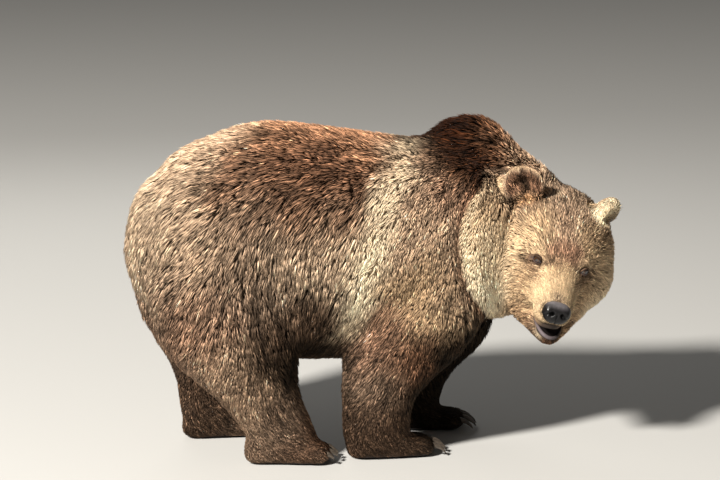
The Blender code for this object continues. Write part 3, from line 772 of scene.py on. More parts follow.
def make_skin():
    """The skin: the solids melted together, sunk by the coat's depth, finer on the head."""
    fine = remeshed(joined_flesh(), FINE_VOXEL)
    sunk(fine)
    fine.name = "fine skin"
    rough = bpy.data.objects.new("rough", fine.data.copy())
    bpy.context.scene.collection.objects.link(rough)
    rough = remeshed(rough, ROUGH_VOXEL)
    model = BVHTree.FromObject(fine, bpy.context.evaluated_depsgraph_get())
    refined(rough, whole_head, model)
    refined(rough, face_front, model)
    mesh = rough.data
    put_places(mesh, smoothed(places_of(mesh), links_of(mesh), 3, keep=0.4))
    bpy.data.objects.remove(fine)
    rough.name = "skin"
    mesh.name = "skin"
    for face in mesh.polygons:
        face.use_smooth = True
    return rough


# ---------------------------------------------------------------- eyelids and lips


def eye_frame(side):
    """An eye's middle and its gaze, outward and up directions, in the row's frame."""
    middle = from_head(np.array([(EYE_AT[0], side * EYE_AT[1], EYE_AT[2])]))[0]
    turn = np.array(HEAD_TURN)
    gaze = turn @ np.array((math.cos(GAZE_OUT), side * math.sin(GAZE_OUT), 0.30))
    gaze /= np.linalg.norm(gaze)
    outward = turn @ np.array((-math.sin(GAZE_OUT), side * math.cos(GAZE_OUT), 0.16))
    outward -= gaze * (outward @ gaze)
    outward /= np.linalg.norm(outward)
    up = np.cross(gaze, outward) * -side
    if up[2] < 0:
        up = -up
    return middle, gaze, outward, up


LID_RINGS = (  # degrees out from the opening, height off the eyeball, share of the way to the socket's wall
    (0.0, -0.0010, 0.0), (0.0, 0.0003, 0.0), (2.0, 0.0014, 0.0), (5.0, 0.0022, 0.0),
    (9.0, 0.0018, 0.06), (13.0, 0.0022, 0.22), (18.0, 0.0020, 0.50), (24.0, 0.0014, 0.80),
    (30.0, 0.0010, 1.05), (30.0, -0.0030, 0.3),
)
# The upper lid is darker than the lower: partly its dark skin, partly painted shade from the brow.
UPPER_TONES = (
    (0.006, 0.004, 0.004), (0.006, 0.004, 0.004), (0.012, 0.007, 0.006), (0.020, 0.011, 0.008),
    (0.030, 0.017, 0.012), (0.050, 0.029, 0.019), (0.085, 0.050, 0.031), (0.120, 0.072, 0.043),
    (0.160, 0.098, 0.058), (0.10, 0.06, 0.04),
)
LOWER_TONES = (
    (0.010, 0.007, 0.007), (0.016, 0.011, 0.011), (0.060, 0.042, 0.041), (0.090, 0.064, 0.060),
    (0.065, 0.042, 0.035), (0.070, 0.043, 0.031), (0.090, 0.055, 0.036), (0.125, 0.076, 0.047),
    (0.170, 0.105, 0.063), (0.10, 0.06, 0.04),
)


def lofted(rings):
    """A tube through rings of points, its last ring joined to its first."""
    around = len(rings[0])
    faces = []
    for ring in range(len(rings)):
        for step in range(around):
            a = ring * around + step
            b = ring * around + (step + 1) % around
            c = (ring + 1) % len(rings) * around + (step + 1) % around
            d = (ring + 1) % len(rings) * around + step
            faces.append((a, b, c, d))
    return [point for ring in rings for point in ring], faces


AROUND_EYE = 64
SOCKET_REACH = 0.028


def eyelids(side, model):
    """Both lids of one eye, from the opening on the eyeball out to the socket's wall."""
    middle, gaze, outward, up = eye_frame(side)
    rings, colours = [], []
    for (spread, lift, share), upper, lower in zip(LID_RINGS, UPPER_TONES, LOWER_TONES):
        ring = []
        for step in range(AROUND_EYE):
            turn = 2 * math.pi * step / AROUND_EYE
            wide = 60 if math.cos(turn) > 0 else 66  # the opening, in degrees from the gaze
            high = 30 if math.sin(turn) > 0 else 22
            x = math.cos(turn) * wide
            y = math.sin(turn) * abs(math.sin(turn)) ** 0.35 * high - 5 * math.cos(turn) ** 3
            reach = math.hypot(x, y)
            stretch = (reach + spread * (0.55 + 0.45 * abs(math.sin(turn)))) / reach
            x, y = math.radians(x * stretch), math.radians(y * stretch)
            angle = math.hypot(x, y)
            way = gaze * math.cos(angle) + (outward * x + up * y) * (math.sin(angle) / angle)
            wall = model.ray_cast(Vector(middle), Vector(way))[3]
            wall = EYE_RADIUS if wall is None else min(max(wall, EYE_RADIUS), SOCKET_REACH)
            ring.append(middle + way * (EYE_RADIUS + lift + share * (wall - EYE_RADIUS)))
            above = float(ramp(math.sin(turn), -0.25, 0.35))
            colours.append(np.array(lower) * (1 - above) + np.array(upper) * above)
        rings.append(ring)
    return (*lofted(rings), colours)


LOWER_LIP = (  # in the head's own frame, from the right corner of the mouth round to the left
    (0.176, -0.034, -0.119), (0.190, -0.027, -0.127), (0.208, -0.0145, -0.1345),
    (0.2185, -0.006, -0.1385), (0.2270, 0.0065, -0.1425), (0.2320, 0.0190, -0.1450),
    (0.2290, 0.0360, -0.1440), (0.2200, 0.0470, -0.1400), (0.2050, 0.0550, -0.1340),
    (0.188, 0.060, -0.125),
)
UPPER_LIP = (
    (0.188, -0.058, -0.100), (0.202, -0.053, -0.102), (0.217, -0.045, -0.102), (0.231, -0.033, -0.099),
    (0.241, -0.018, -0.095), (0.246, 0.000, -0.092), (0.242, 0.018, -0.095), (0.233, 0.034, -0.100),
    (0.220, 0.046, -0.104), (0.204, 0.053, -0.106), (0.190, 0.057, -0.104),
)
LIP_MIDDLE = (0.16, 0.018, -0.12)
LIP_STEPS, AROUND_LIP = 60, 14
# Near black on the lips' inner side: partly dark skin, partly painted shade of the mouth.
INNER_LIP_TONE = (0.008, 0.005, 0.005)
# The lower lip's grey-mauve from its right corner to its left; the darker tones on its left half are
# painted shade.
LOWER_LIP_TONES = (
    (0.07, 0.050, 0.045), (0.11, 0.088, 0.090), (0.135, 0.112, 0.120), (0.080, 0.066, 0.068),
    (0.040, 0.034, 0.033), (0.03, 0.025, 0.025),
)
UPPER_LIP_TONES = (
    (0.40, 0.27, 0.16), (0.24, 0.16, 0.095), (0.050, 0.036, 0.028), (0.034, 0.026, 0.022),
    (0.13, 0.088, 0.054), (0.32, 0.22, 0.125),
)


def lip(line, thick, tall, drop, ends, tones, model):
    """A roll of skin along the mouth's rim, thinning to its ends, its tones from end to end."""
    line = np.array(line)
    along = np.concatenate([[0], np.cumsum(np.linalg.norm(np.diff(line, axis=0), axis=1))])
    fine = np.linspace(0, 1, LIP_STEPS + 1)
    path = np.stack([np.interp(fine * along[-1], along, line[:, axis]) for axis in range(3)], axis=1)
    on_rim = []
    for place in from_head(path):
        found, way, _, gap = model.find_nearest(Vector(place))
        on_rim.append(np.array(found + way * min(gap, 0.0015)))
    path = to_head(np.array(on_rim))
    for _ in range(14):
        path[1:-1] = (path[:-2] + path[1:-1] * 2 + path[2:]) / 4
    path[:, 2] -= drop * np.sin(math.pi * fine) ** 0.6
    points, colours = [], []
    middle = np.array(LIP_MIDDLE)
    for number, place in enumerate(path):
        ahead = path[min(number + 1, LIP_STEPS)] - path[max(number - 1, 0)]
        ahead = ahead / np.linalg.norm(ahead)
        up = np.array((0, 0, 1.0)) - ahead * ahead[2]
        up /= np.linalg.norm(up)
        out = np.cross(ahead, up)
        if out @ (place - middle) < 0:
            out = -out
        swell = thick * max(0.01, math.sin(math.pi * fine[number])) ** ends
        share = fine[number] * (len(tones) - 1)
        outer = np.array([
            np.interp(share, range(len(tones)), [tone[k] for tone in tones]) for k in range(3)
        ])
        for step in range(AROUND_LIP):
            turn = 2 * math.pi * step / AROUND_LIP
            points.append(place + out * math.cos(turn) * swell + up * math.sin(turn) * swell * tall)
            # The side turned into the mouth fades to the near black inner tone, partly painted shade.
            hidden = float(ramp(math.cos(turn) + 0.35 * abs(math.sin(turn)), 0.25, -0.25))
            colours.append(outer * (1 - hidden) + np.array(INNER_LIP_TONE) * hidden)
    faces = []
    for start in range(0, LIP_STEPS * AROUND_LIP, AROUND_LIP):
        for step in range(AROUND_LIP):
            a, b = start + step, start + (step + 1) % AROUND_LIP
            faces.append((a, b, b + AROUND_LIP, a + AROUND_LIP))
    faces.append(tuple(range(AROUND_LIP))[::-1])
    faces.append(tuple(LIP_STEPS * AROUND_LIP + step for step in range(AROUND_LIP)))
    return from_head(np.array(points)), faces, colours


def with_shells(thing, model):
    """The lids and lips joined into the skin's mesh; the shells' own colours come back."""
    work = bmesh.new()
    work.from_mesh(thing.data)
    colours = []
    shells = [eyelids(side, model) for side in (1, -1)]
    shells.append(lip(LOWER_LIP, 0.0056, 1.0, 0.0, 0.45, LOWER_LIP_TONES, model))
    shells.append(lip(UPPER_LIP, 0.0042, 3.1, 0.005, 0.65, UPPER_LIP_TONES, model))
    for points, faces, colour in shells:
        verts = [work.verts.new(point) for point in points]
        made = [work.faces.new([verts[i] for i in face]) for face in faces]
        bmesh.ops.recalc_face_normals(work, faces=made)
        for face in made:
            face.smooth = True
        colours.append(np.array(colour))
    work.to_mesh(thing.data)
    work.free()
    return np.concatenate(colours)


def lid_share(points):
    """1 on the bare skin round an eye."""
    return ramp(eye_gap(points), 0.0235, 0.0190)


# ---------------------------------------------------------------- bare skin's colour


def bare_markings(points):
    """The skin's colour under and between the tufts, and where it is bare, with the mouth's inside near
    black, partly painted shade.
    """
    colour = markings(points)
    colour = colour * np.interp(colour[:, 1], (0.10, 0.50), (0.40, 0.75))[:, None]
    colour = towards_colour(colour, (0.130, 0.080, 0.050), lid_share(points))
    # Near black inside the mouth: partly dark skin, partly painted shade of its hollow.
    colour = towards_colour(colour, (0.006, 0.004, 0.004), mouth_inside(points))
    soles = ramp(points[:, 2], 0.020, 0.008)
    return towards_colour(colour, (0.030, 0.024, 0.022), soles)


def put_colour(mesh, colour):
    """Keeps a colour for each point in the attribute that the materials read."""
    layer = mesh.color_attributes.new("coat_colour", "FLOAT_COLOR", "POINT")
    rgba = np.ones((len(mesh.vertices), 4), np.float32)
    rgba[:, :3] = np.clip(colour, 0, 1)
    layer.data.foreach_set("color", rgba.ravel())


# ---------------------------------------------------------------- the coat


def width_for(length):
    """How wide a tuft of a given length is."""
    return 0.0015 + 0.052 * length


def bare_share(points, normals):
    """1 where no tuft grows: round the eyes, between the lips, on the nose and the soles."""
    local = to_head(points)
    folded = local.copy()
    folded[:, 1] = np.abs(folded[:, 1])
    nose = near(local, (0.262, 0, -0.040), (0.016, 0.030, 0.026)) > 0.5
    lips = mouth_inside(points) > 0.10
    soles = (points[:, 2] < 0.012) | ((points[:, 2] < 0.03) & (normals[:, 2] < -0.6))
    return (eye_gap(points) < BARE_ROUND_EYE) | nose | lips | soles


def rooted(mesh, wanted):
    """Where the tufts grow on the skin: points and normals, evenly by the coat's density."""
    rng = np.random.default_rng(SEED)
    points, normals = places_of(mesh), normals_of(mesh)
    corners = corners_of(mesh)
    a, b, c = (points[corners[:, k]] for k in range(3))
    area = np.linalg.norm(np.cross(b - a, c - a), axis=1) / 2
    middles = (a + b + c) / 3
    length = coat_at(middles)[2]
    facing = unit(normals[corners].mean(axis=1))
    weight = area / (length * width_for(length))
    weight[bare_share(middles, facing)] = 0
    total = np.cumsum(weight)
    spots = (np.arange(wanted) + rng.random(wanted)) * total[-1] / wanted
    chosen = np.minimum(np.searchsorted(total, spots), len(total) - 1)
    u, v = rng.random(wanted), rng.random(wanted)
    over = u + v > 1
    u[over], v[over] = 1 - u[over], 1 - v[over]
    shares = (1 - u - v, u, v)

    def mix(values):
        return sum(values[corners[chosen, k]] * share[:, None] for k, share in enumerate(shares))

    return mix(points), unit(mix(normals)), rng


def laid_on(model, points, fallback):
    """Each point's nearest place on the skin and the skin's normal there."""
    places, ways = points.copy(), fallback.copy()
    for index, point in enumerate(points):
        found, way, _, gap = model.find_nearest(point)
        if found is not None and gap < 0.03 and way.dot(Vector(fallback[index])) > 0.3:
            places[index] = found
            ways[index] = way
    return places, ways


def nearest_of(points, chosen):
    """For each point the index of the nearest of the chosen ones."""
    tree = KDTree(len(chosen))
    for index in chosen:
        tree.insert(points[index], int(index))
    tree.balance()
    return np.array([tree.find(point)[1] for point in points])


def drawn_together(tips, roots, rng, one_in, share):
    """Tips drawn towards the tip in the middle of their lock."""
    heads = np.nonzero(rng.random(len(roots)) < 1 / one_in)[0]
    lock = nearest_of(roots, heads)
    gap = tips[lock] - tips
    return tips + gap * share[:, None], lock


def streaked(values, roots, way, length):
    """Each tuft's value shared with the tufts before and behind it, so it runs in long streaks."""
    tree = KDTree(len(roots))
    for index, root in enumerate(roots):
        tree.insert(root, index)
    tree.balance()
    step = way * (0.40 * length)[:, None]
    ahead = np.array([tree.find(place)[1] for place in roots + step])
    behind = np.array([tree.find(place)[1] for place in roots - step])
    for _ in range(3):
        values = (values * 1.4 + values[ahead] + values[behind]) / 3.4
    return (values - values.mean()) / values.std()


def grown_coat(mesh, model):
    """Every tuft of the coat: its root, tip, size and place in its lock."""
    roots, normals, rng = rooted(mesh, TUFTS)
    count = len(roots)
    way, depth, length = coat_at(roots)
    sway = np.stack([ripple(roots, 0.09, seed) for seed in (21, 22, 23)], axis=1) * 0.12
    sway += np.stack([ripple(roots, 0.03, seed) for seed in (24, 25, 26)], axis=1) * 0.09
    easy = way + sway
    easy = unit(easy - normals * (easy * normals).sum(axis=1, keepdims=True))
    streak = streaked(rng.normal(0, 1, count), roots, easy, length)
    loose = 0.11 + 0.14 * in_ear(roots, 1)[0]
    way = way + sway + rng.normal(size=(count, 3)) * loose[:, None]
    way -= normals * (way * normals).sum(axis=1, keepdims=True)
    way = unit(way)
    length = length * (1 + 0.14 * ripple(roots, 0.05, 27)) * rng.uniform(0.72, 1.12, count)
    flat = np.sqrt(np.maximum(length ** 2 - depth ** 2, (0.6 * length) ** 2))
    tips, tip_normals = laid_on(model, roots + way * flat[:, None], normals)
    stand = 0.86 + 0.06 * ripple(roots, 0.035, 28) + 0.07 * streak + rng.normal(0, 0.07, count)
    stand = np.clip(stand, 0.5, 1.12)
    tips = tips + tip_normals * (depth * stand)[:, None]
    big = np.clip(0.10 + 0.10 * ripple(roots, 0.12, 29), 0.0, 0.30) * ramp(length, 0.012, 0.030)
    tips, _ = drawn_together(tips, roots, rng, TUFTS_IN_A_BIG_LOCK, big)
    small = np.clip(0.34 + 0.14 * ripple(roots, 0.08, 30), 0.1, 0.6)
    small = small * (0.2 + 0.8 * ramp(length, 0.020, 0.045))
    tips, lock = drawn_together(tips, roots, rng, TUFTS_IN_A_LOCK, small)
    lock_tone = rng.normal(0, 1, count)[lock]
    return {
        "root": roots - normals * ROOT_DEPTH,
        "normal": normals,
        "tip": tips,
        "depth": depth,
        "tone": 0.80 * streak + 0.25 * lock_tone + rng.normal(0, 0.5, count),
        "width": width_for(length) * rng.uniform(0.75, 1.2, count),
        "twist": rng.normal(0, 0.4, count),
        "streak": rng.random(count) * 40,
    }


def patch_places(roots):
    """Each root's place on an unwrapping of the skin: round the body, and along it."""
    local = to_head(roots)
    round_head = np.arctan2(local[:, 1], local[:, 2] + 0.02) / (2 * math.pi) + 0.5
    along_head = local[:, 0] + 0.4 * np.abs(local[:, 1])
    middle_y, middle_z = MIDDLE_Y, 0.62
    round_body = np.arctan2(roots[:, 1] - middle_y, roots[:, 2] - middle_z) / (2 * math.pi) + 0.5
    along_body = roots[:, 0]
    head = on_head(roots) > 0.5
    leg = roots[:, 2] < 0.34
    side = np.where(roots[:, 1] > MIDDLE_Y, 1.0, 0.0)
    front = np.where(roots[:, 0] > -0.16, 1.0, 0.0)
    hub_x = np.where(front > 0, np.where(side > 0, 0.21, 0.03), np.where(side > 0, -0.42, -0.36))
    hub_y = np.where(side > 0, 0.20, -0.11)
    round_leg = np.arctan2(roots[:, 1] - hub_y, roots[:, 0] - hub_x) / (2 * math.pi) + 0.5
    u = np.where(head, round_head, np.where(leg, (round_leg + side) / 2, round_body))
    v = np.where(head, along_head, np.where(leg, roots[:, 2], along_body))
    part = np.where(head, 0, np.where(leg, np.where(front > 0, 3, 4), np.where(u < 0.5, 1, 2)))
    return np.stack([u, v], axis=1), part


PART_NAMES = ("head", "right_side", "left_side", "forelegs", "hindlegs")


def tuft_arrays(coat):
    """Five points and six faces for each tuft: a bent three-sided blade, pointed at both ends."""
    root, tip, normal = coat["root"], coat["tip"], coat["normal"]
    bow = coat["depth"] * 0.30
    middle = root * 0.58 + tip * 0.42 + normal * bow[:, None]
    along = unit(tip - root)
    across = unit(np.cross(along, normal))
    up = unit(np.cross(across, along))
    cos, sin = np.cos(coat["twist"])[:, None], np.sin(coat["twist"])[:, None]
    across, up = across * cos + up * sin, up * cos - across * sin
    wide = coat["width"][:, None]
    points = np.stack([
        root,
        middle - across * wide * 0.5 - up * wide * 0.12,
        middle + across * wide * 0.5 - up * wide * 0.12,
        middle + up * wide * 0.34,
        tip,
    ], axis=1)
    faces = np.array([(0, 2, 1), (0, 3, 2), (0, 1, 3), (1, 2, 4), (2, 3, 4), (3, 1, 4)])
    return points, faces


# A tuft's five points: across and along it on its map, and how bright they are: the dark root is partly
# darker underfur, partly painted shade deep in the coat.
ACROSS = np.array((0.5, 0.0, 1.0, 0.5, 0.5))
ALONG = np.array((0.0, 0.42, 0.42, 0.42, 1.0))
SHADE = np.array((0.32, 0.80, 0.80, 0.88, 1.36))


def tuft_colours(coat, colour):
    """A colour for each point of each tuft: dark at the root, partly as painted shade, bright at the tip,
    no two alike.
    """
    bright = colour @ np.array((0.25, 0.6, 0.15))
    variety = np.interp(bright, (0.03, 0.12, 0.30, 0.50), (0.70, 0.68, 0.50, 0.20))
    even = np.interp(bright, (0.25, 0.55), (0.0, 0.75))[:, None]  # pale hair is less shaded
    shade = SHADE[None] * (1 - even) + even
    shade = shade * np.exp(variety * coat["tone"] - 0.5 * variety ** 2)[:, None]
    return (colour[:, None, :] * shade[:, :, None]).reshape(-1, 3)


def tuft_maps(coat, places):
    """Two maps: a small patch of the bake map for each tuft, and its length for the streaks."""
    low, high = places.min(axis=0), places.max(axis=0)
    spot = 0.004 + 0.992 * (places - low) / np.maximum(high - low, 1e-6)
    patch = np.stack([ACROSS - 0.5, ALONG - 0.5], axis=1) * BAKE_PATCH
    across = coat["streak"][:, None] + ACROSS[None]
    along = np.broadcast_to(ALONG[None], across.shape)
    return {
        "OFBake": spot[:, None, :] + patch[None],
        "strand": np.stack([across, along], axis=2),
    }


def coat_piece(name, coat, places, colour):
    """One piece of the coat: its tufts' mesh, colours and two maps."""
    points, one = tuft_arrays(coat)
    count = len(points)
    faces = (one[None] + 5 * np.arange(count)[:, None, None]).reshape(-1)
    mesh = bpy.data.meshes.new(name)
    mesh.vertices.add(count * 5)
    mesh.vertices.foreach_set("co", points.astype(np.float32).ravel())
    mesh.loops.add(count * 18)
    mesh.loops.foreach_set("vertex_index", faces.astype(np.int32))
    mesh.polygons.add(count * 6)
    mesh.polygons.foreach_set("loop_start", np.arange(count * 6, dtype=np.int32) * 3)
    mesh.polygons.foreach_set("use_smooth", np.ones(count * 6, bool))
    mesh.update(calc_edges=True)
    put_colour(mesh, tuft_colours(coat, colour))
    for title, corner in tuft_maps(coat, places).items():
        layer = mesh.uv_layers.new(name=title)
        layer.data.foreach_set("uv", corner.reshape(-1, 2)[faces].astype(np.float32).ravel())
    thing = bpy.data.objects.new(name, mesh)
    bpy.context.scene.collection.objects.link(thing)
    return thing


def coat_pieces(coat):
    """The coat parted into pieces by where it grows, each well under 200,000 triangles."""
    places, part = patch_places(coat["root"])
    colour = markings(coat["root"])
    made = []
    for number, word in enumerate(PART_NAMES):
        mine = np.nonzero(part == number)[0]
        mine = mine[np.argsort(places[mine, 1], kind="stable")]
        shares = max(1, math.ceil(len(mine) / TUFTS_IN_A_PIECE))
        for share, some in enumerate(np.array_split(mine, shares)):
            piece = {key: values[some] for key, values in coat.items()}
            made.append(coat_piece(f"coat_{word}_{share + 1}", piece, places[some], colour[some]))
    return made


# ---------------------------------------------------------------- materials


def new_material(name):
    """A material with its nodes, links and shader."""
    material = bpy.data.materials.new(name)
    material.use_nodes = True
    nodes = material.node_tree.nodes
    shader = next(node for node in nodes if node.type == "BSDF_PRINCIPLED")
    return material, nodes, material.node_tree.links, shader


def node_of(nodes, kind, **values):
    """A new node with its sockets or properties set."""
    node = nodes.new(kind)
    for key, value in values.items():
        if key in node.inputs:
            node.inputs[key].default_value = value
        else:
            setattr(node, key, value)
    return node


def grained(nodes, links, pattern, low, high):
    """The piece's own colour, made darker and lighter by a pattern between low and high."""
    colour = node_of(nodes, "ShaderNodeAttribute", attribute_name="coat_colour")
    spread = node_of(nodes, "ShaderNodeMapRange")
    for key, value in (("From Min", 0.3), ("From Max", 0.7), ("To Min", low), ("To Max", high)):
        spread.inputs[key].default_value = value
    links.new(pattern, spread.inputs["Value"])
    tinted = node_of(nodes, "ShaderNodeVectorMath", operation="SCALE")
    links.new(colour.outputs["Color"], tinted.inputs[0])
    links.new(spread.outputs["Result"], tinted.inputs["Scale"])
    return tinted.outputs["Vector"]


def bumped(nodes, links, shader, height, strength, distance):
    """Fine relief from a pattern."""
    bump = node_of(nodes, "ShaderNodeBump", Strength=strength, Distance=distance)
    links.new(height, bump.inputs["Height"])
    links.new(bump.outputs["Normal"], shader.inputs["Normal"])


def fur_material():
    """The tufts' hair: their own colour, streaked along each tuft."""
    material, nodes, links, shader = new_material("bear fur")
    strand = node_of(nodes, "ShaderNodeUVMap", uv_map="strand")
    stretch = node_of(nodes, "ShaderNodeMapping", Scale=(5.0, 0.9, 1.0))
    links.new(strand.outputs["UV"], stretch.inputs["Vector"])
    streaks = node_of(nodes, "ShaderNodeTexNoise", Scale=1.0, Detail=2.0, Roughness=0.6)
    links.new(stretch.outputs["Vector"], streaks.inputs["Vector"])
    links.new(grained(nodes, links, streaks.outputs["Fac"], 0.72, 1.25), shader.inputs["Base Color"])
    bumped(nodes, links, shader, streaks.outputs["Fac"], 0.35, 0.0006)
    shader.inputs["Roughness"].default_value = 0.62
    shader.inputs["Specular IOR Level"].default_value = 0.10
    shader.inputs["Sheen Weight"].default_value = 0.01
    shader.inputs["Sheen Roughness"].default_value = 0.45
    shader.inputs["Sheen Tint"].default_value = (1.0, 0.80, 0.58, 1)
    return material


def skin_material():
    """The undercoat and the bare skin, finely grained."""
    material, nodes, links, shader = new_material("bear skin")
    place = node_of(nodes, "ShaderNodeTexCoord")
    grain = node_of(nodes, "ShaderNodeTexNoise", Scale=420.0, Detail=3.0, Roughness=0.6)
    links.new(place.outputs["Object"], grain.inputs["Vector"])
    links.new(grained(nodes, links, grain.outputs["Fac"], 0.75, 1.2), shader.inputs["Base Color"])
    bumped(nodes, links, shader, grain.outputs["Fac"], 0.5, 0.0008)
    shader.inputs["Roughness"].default_value = 0.62
    shader.inputs["Specular IOR Level"].default_value = 0.12
    return material


def nose_material():
    """Dark moist leather with fine pebbling."""
    material, nodes, links, shader = new_material("nose leather")
    place = node_of(nodes, "ShaderNodeTexCoord")
    pebbles = node_of(nodes, "ShaderNodeTexVoronoi", Scale=480.0)
    links.new(place.outputs["Object"], pebbles.inputs["Vector"])
    patches = node_of(nodes, "ShaderNodeTexNoise", Scale=90.0, Detail=3.0)
    links.new(place.outputs["Object"], patches.inputs["Vector"])
    links.new(grained(nodes, links, patches.outputs["Fac"], 0.75, 1.25), shader.inputs["Base Color"])
    bumped(nodes, links, shader, pebbles.outputs["Distance"], 0.45, 0.0005)
    shader.inputs["Roughness"].default_value = 0.32
    shader.inputs["Specular IOR Level"].default_value = 0.30
    return material


def eye_material(side):
    """A dark brown iris round a black pupil, under a wet clear coat."""
    word = "left" if side > 0 else "right"
    material, nodes, links, shader = new_material(f"{word} eye")
    middle, gaze, _, _ = eye_frame(side)
    place = node_of(nodes, "ShaderNodeTexCoord")
    front = middle + gaze * EYE_RADIUS
    away = node_of(nodes, "ShaderNodeVectorMath", operation="DISTANCE")
    away.inputs[1].default_value = tuple(front)
    links.new(place.outputs["Object"], away.inputs[0])
    rays = node_of(nodes, "ShaderNodeTexNoise", Scale=700.0, Detail=2.0)
    links.new(place.outputs["Object"], rays.inputs["Vector"])
    ring = node_of(nodes, "ShaderNodeMath", operation="MULTIPLY_ADD")
    ring.inputs[1].default_value = 0.0016
    links.new(rays.outputs["Fac"], ring.inputs[0])
    links.new(away.outputs["Value"], ring.inputs[2])
    tone = node_of(nodes, "ShaderNodeValToRGB")
    stops = (
        (0.0040, (0.002, 0.002, 0.002)), (0.0050, (0.040, 0.018, 0.008)),
        (0.0090, (0.060, 0.026, 0.010)), (0.0105, (0.008, 0.005, 0.004)),
        (0.0125, (0.050, 0.040, 0.036)),
    )
    span = 0.02  # the ramp's whole length, in metres from the eye's front
    bar = tone.color_ramp
    while len(bar.elements) < len(stops):
        bar.elements.new(0.5)
    for element, (reach, shade) in zip(bar.elements, stops):
        element.position = reach / span
        element.color = (*shade, 1)
    scaled = node_of(nodes, "ShaderNodeMath", operation="MULTIPLY")
    scaled.inputs[1].default_value = 1 / span
    links.new(ring.outputs["Value"], scaled.inputs[0])
    links.new(scaled.outputs["Value"], tone.inputs["Fac"])
    links.new(tone.outputs["Color"], shader.inputs["Base Color"])
    shader.inputs["Roughness"].default_value = 0.12
    shader.inputs["Coat Weight"].default_value = 1.0
    shader.inputs["Coat Roughness"].default_value = 0.03
    return material


def claw_material():
    """Dark horn with fine lengthwise streaks."""
    material, nodes, links, shader = new_material("claw horn")
    place = node_of(nodes, "ShaderNodeTexCoord")
    stretch = node_of(nodes, "ShaderNodeMapping", Scale=(60.0, 420.0, 160.0))
    links.new(place.outputs["Object"], stretch.inputs["Vector"])
    streaks = node_of(nodes, "ShaderNodeTexNoise", Scale=1.0, Detail=3.0)
    links.new(stretch.outputs["Vector"], streaks.inputs["Vector"])
    tone = node_of(nodes, "ShaderNodeValToRGB")
    tone.color_ramp.elements[0].position = 0.3
    tone.color_ramp.elements[0].color = (0.022, 0.017, 0.013, 1)
    tone.color_ramp.elements[1].position = 0.7
    tone.color_ramp.elements[1].color = (0.095, 0.074, 0.055, 1)
    links.new(streaks.outputs["Fac"], tone.inputs["Fac"])
    links.new(tone.outputs["Color"], shader.inputs["Base Color"])
    bumped(nodes, links, shader, streaks.outputs["Fac"], 0.3, 0.0004)
    shader.inputs["Roughness"].default_value = 0.36
    return material


def floor_material():
    """Matt, plain and pale."""
    material, _, _, shader = new_material("pale floor")
    shader.inputs["Base Color"].default_value = (0.56, 0.56, 0.545, 1)
    shader.inputs["Roughness"].default_value = 0.8
    return material


def give(thing, material):
    """Gives an object this material alone."""
    thing.data.materials.clear()
    thing.data.materials.append(material)


# ---------------------------------------------------------------- the nose

NOSE_AT = np.array((0.2555, 0.0, -0.040))
NOSE_HALVES = np.array((0.029, 0.0425, 0.0335))
NOSE_TILT = -0.35


def ball(round_it, high):
    """The directions from a ball's middle to its points, its poles on x, and its faces."""
    way = []
    for row in range(1, high):
        fall = math.pi * row / high
        for step in range(round_it):
            turn = 2 * math.pi * step / round_it
            way.append((math.cos(fall), math.sin(fall) * math.cos(turn), math.sin(fall) * math.sin(turn)))
    way = np.array([(1.0, 0, 0), *way, (-1.0, 0, 0)])  # the first pole faces forwards
    faces = []
    last = 1 + (high - 2) * round_it
    for step in range(round_it):
        faces.append((0, 1 + step, 1 + (step + 1) % round_it))
        faces.append((len(way) - 1, last + (step + 1) % round_it, last + step))
    for row in range(high - 2):
        for step in range(round_it):
            a, b = 1 + row * round_it + step, 1 + row * round_it + (step + 1) % round_it
            faces.append((a, a + round_it, b + round_it, b))
    return way, faces


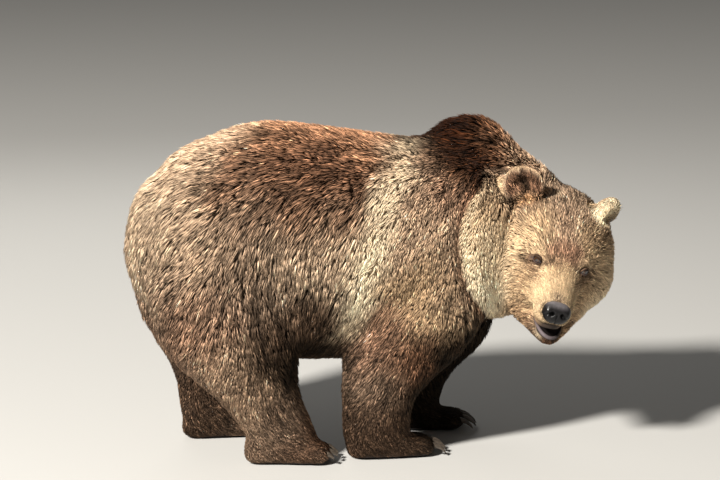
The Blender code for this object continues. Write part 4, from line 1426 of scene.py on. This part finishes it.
def nose_pad():
    """The bare nose: a squared pad with winged nostrils and a groove down its middle, with painted shade in
    the nostrils and the groove and a painted highlight on its top.
    """
    way, faces = ball(96, 64)
    x, y, z = way.T
    square = (np.abs(y) ** 2.6 + np.abs(z) ** 2.6 + np.abs(x) ** 2.6) ** (-1 / 2.6)
    shape = way * square[:, None]
    side = np.abs(y)
    ahead = ramp(x, -0.1, 0.3)
    lean = z + 0.03 + 0.35 * (side - 0.38)
    hole = np.exp(-(((side - 0.38) / 0.145) ** 2 + (lean / 0.185) ** 2) ** 1.4)
    slit = np.exp(-(((z + 0.13 + 0.75 * (side - 0.62)) / 0.07) ** 2 + ((side - 0.64) / 0.20) ** 2))
    wing = np.exp(-(((side - 0.60) / 0.16) ** 2 + ((z - 0.12) / 0.26) ** 2))
    groove = np.exp(-((y / 0.050) ** 2)) * ramp(z, 0.10, -0.15)
    rim = np.exp(-(((side - 0.37) / 0.24) ** 2 + ((z - 0.02) / 0.30) ** 2))
    push = ahead * (0.075 * wing + 0.075 * rim - 0.46 * hole - 0.16 * slit - 0.11 * groove)
    shape = shape * (1 + push)[:, None]
    shape[:, 0] -= 0.16 * np.clip(-z, 0, 1) ** 2 * ahead
    shape[:, 1] *= 1 - 0.26 * np.clip(-z - 0.1, 0, 1)
    shape[:, 1:] *= (1 - 0.22 * ramp(x, 0.30, -0.45))[:, None]
    local = shape * NOSE_HALVES
    cos, sin = math.cos(NOSE_TILT), math.sin(NOSE_TILT)
    turned = np.stack([
        local[:, 0] * cos + local[:, 2] * sin, local[:, 1], local[:, 2] * cos - local[:, 0] * sin,
    ], axis=1)
    pad = mesh_object("nose_pad", from_head(turned + NOSE_AT), faces)
    work = bmesh.new()
    work.from_mesh(pad.data)
    bmesh.ops.recalc_face_normals(work, faces=work.faces)
    work.to_mesh(pad.data)
    work.free()
    for face in pad.data.polygons:
        face.use_smooth = True
    # Painted shade: the nostrils, their slits and the groove darkened nearly to black, as if deep in shade.
    dark = np.clip(1.4 * hole + 0.7 * slit + 0.6 * groove, 0, 1) * ahead
    # Painted highlight: the pad's top made lighter and blue-grey, as if catching the light.
    painted_top_highlight = ramp(z, 0.15, 0.85)
    tone = np.array((0.005, 0.0045, 0.005)) + painted_top_highlight[:, None] ** 2 * np.array((0.130, 0.120, 0.126))
    put_colour(pad.data, tone + (np.array((0.001, 0.001, 0.001)) - tone) * dark[:, None])
    return pad


# ---------------------------------------------------------------- floor and light


def make_floor():
    """A wide plain floor just under the feet."""
    floor = mesh_object(
        "floor", [(-30, -30, 0), (30, -30, 0), (30, 60, 0), (-30, 60, 0)], [(0, 1, 2, 3)]
    )
    floor.location.z = -0.0005
    give(floor, floor_material())


def area_light(name, place, aim, size, power, colour):
    """A round soft light that faces aim."""
    data = bpy.data.lights.new(name, "AREA")
    data.shape = "DISK"
    data.size = size
    data.energy = power
    data.color = colour
    light = bpy.data.objects.new(name, data)
    light.location = place
    light.rotation_euler = (Vector(aim) - Vector(place)).to_track_quat("-Z", "Y").to_euler()
    bpy.context.scene.collection.objects.link(light)


def make_light():
    """One strong soft key light, a weak fill, a rim light and a faint even glow."""
    area_light("key", (-8.8, -8.0, 8.5), (0.0, 0.0, 0.5), 1.8, 5000, (1.0, 0.95, 0.88))
    area_light("fill", (3.6, -3.4, 2.2), (0.1, 0.0, 0.5), 3.0, 3, (1.0, 0.96, 0.90))
    area_light("rim", (-0.5, 4.5, 3.4), (0.0, 0.0, 0.6), 2.5, 40, (1.0, 0.98, 0.94))
    world = bpy.data.worlds.new("studio")
    world.use_nodes = True
    sky = next(node for node in world.node_tree.nodes if node.type == "BACKGROUND")
    sky.inputs["Color"].default_value = (1.0, 0.97, 0.93, 1)
    sky.inputs["Strength"].default_value = 0.08
    bpy.context.scene.world = world


# ---------------------------------------------------------------- building


def build():
    """Everything in its order: skin, coat, claws, nose, eyes, floor and light."""
    look_from()
    bpy.context.scene.view_settings.view_transform = "Standard"
    skin = make_skin()
    model = BVHTree.FromObject(skin, bpy.context.evaluated_depsgraph_get())
    coat = grown_coat(skin.data, model)
    colour = bare_markings(places_of(skin.data))
    put_colour(skin.data, np.concatenate([colour, with_shells(skin, model)]))
    give(skin, skin_material())
    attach(skin, "root")
    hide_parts(*FLESH)
    fur = fur_material()
    for piece in coat_pieces(coat):
        give(piece, fur)
        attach(piece, "root")
    horn = claw_material()
    for name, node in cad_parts.items():
        if "_claw_" in name:
            give(node, horn)
    pad = nose_pad()
    give(pad, nose_material())
    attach(pad, "root")
    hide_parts("nose")
    give(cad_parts["eye_left"], eye_material(1))
    give(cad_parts["eye_right"], eye_material(-1))
    make_floor()
    make_light()


build()
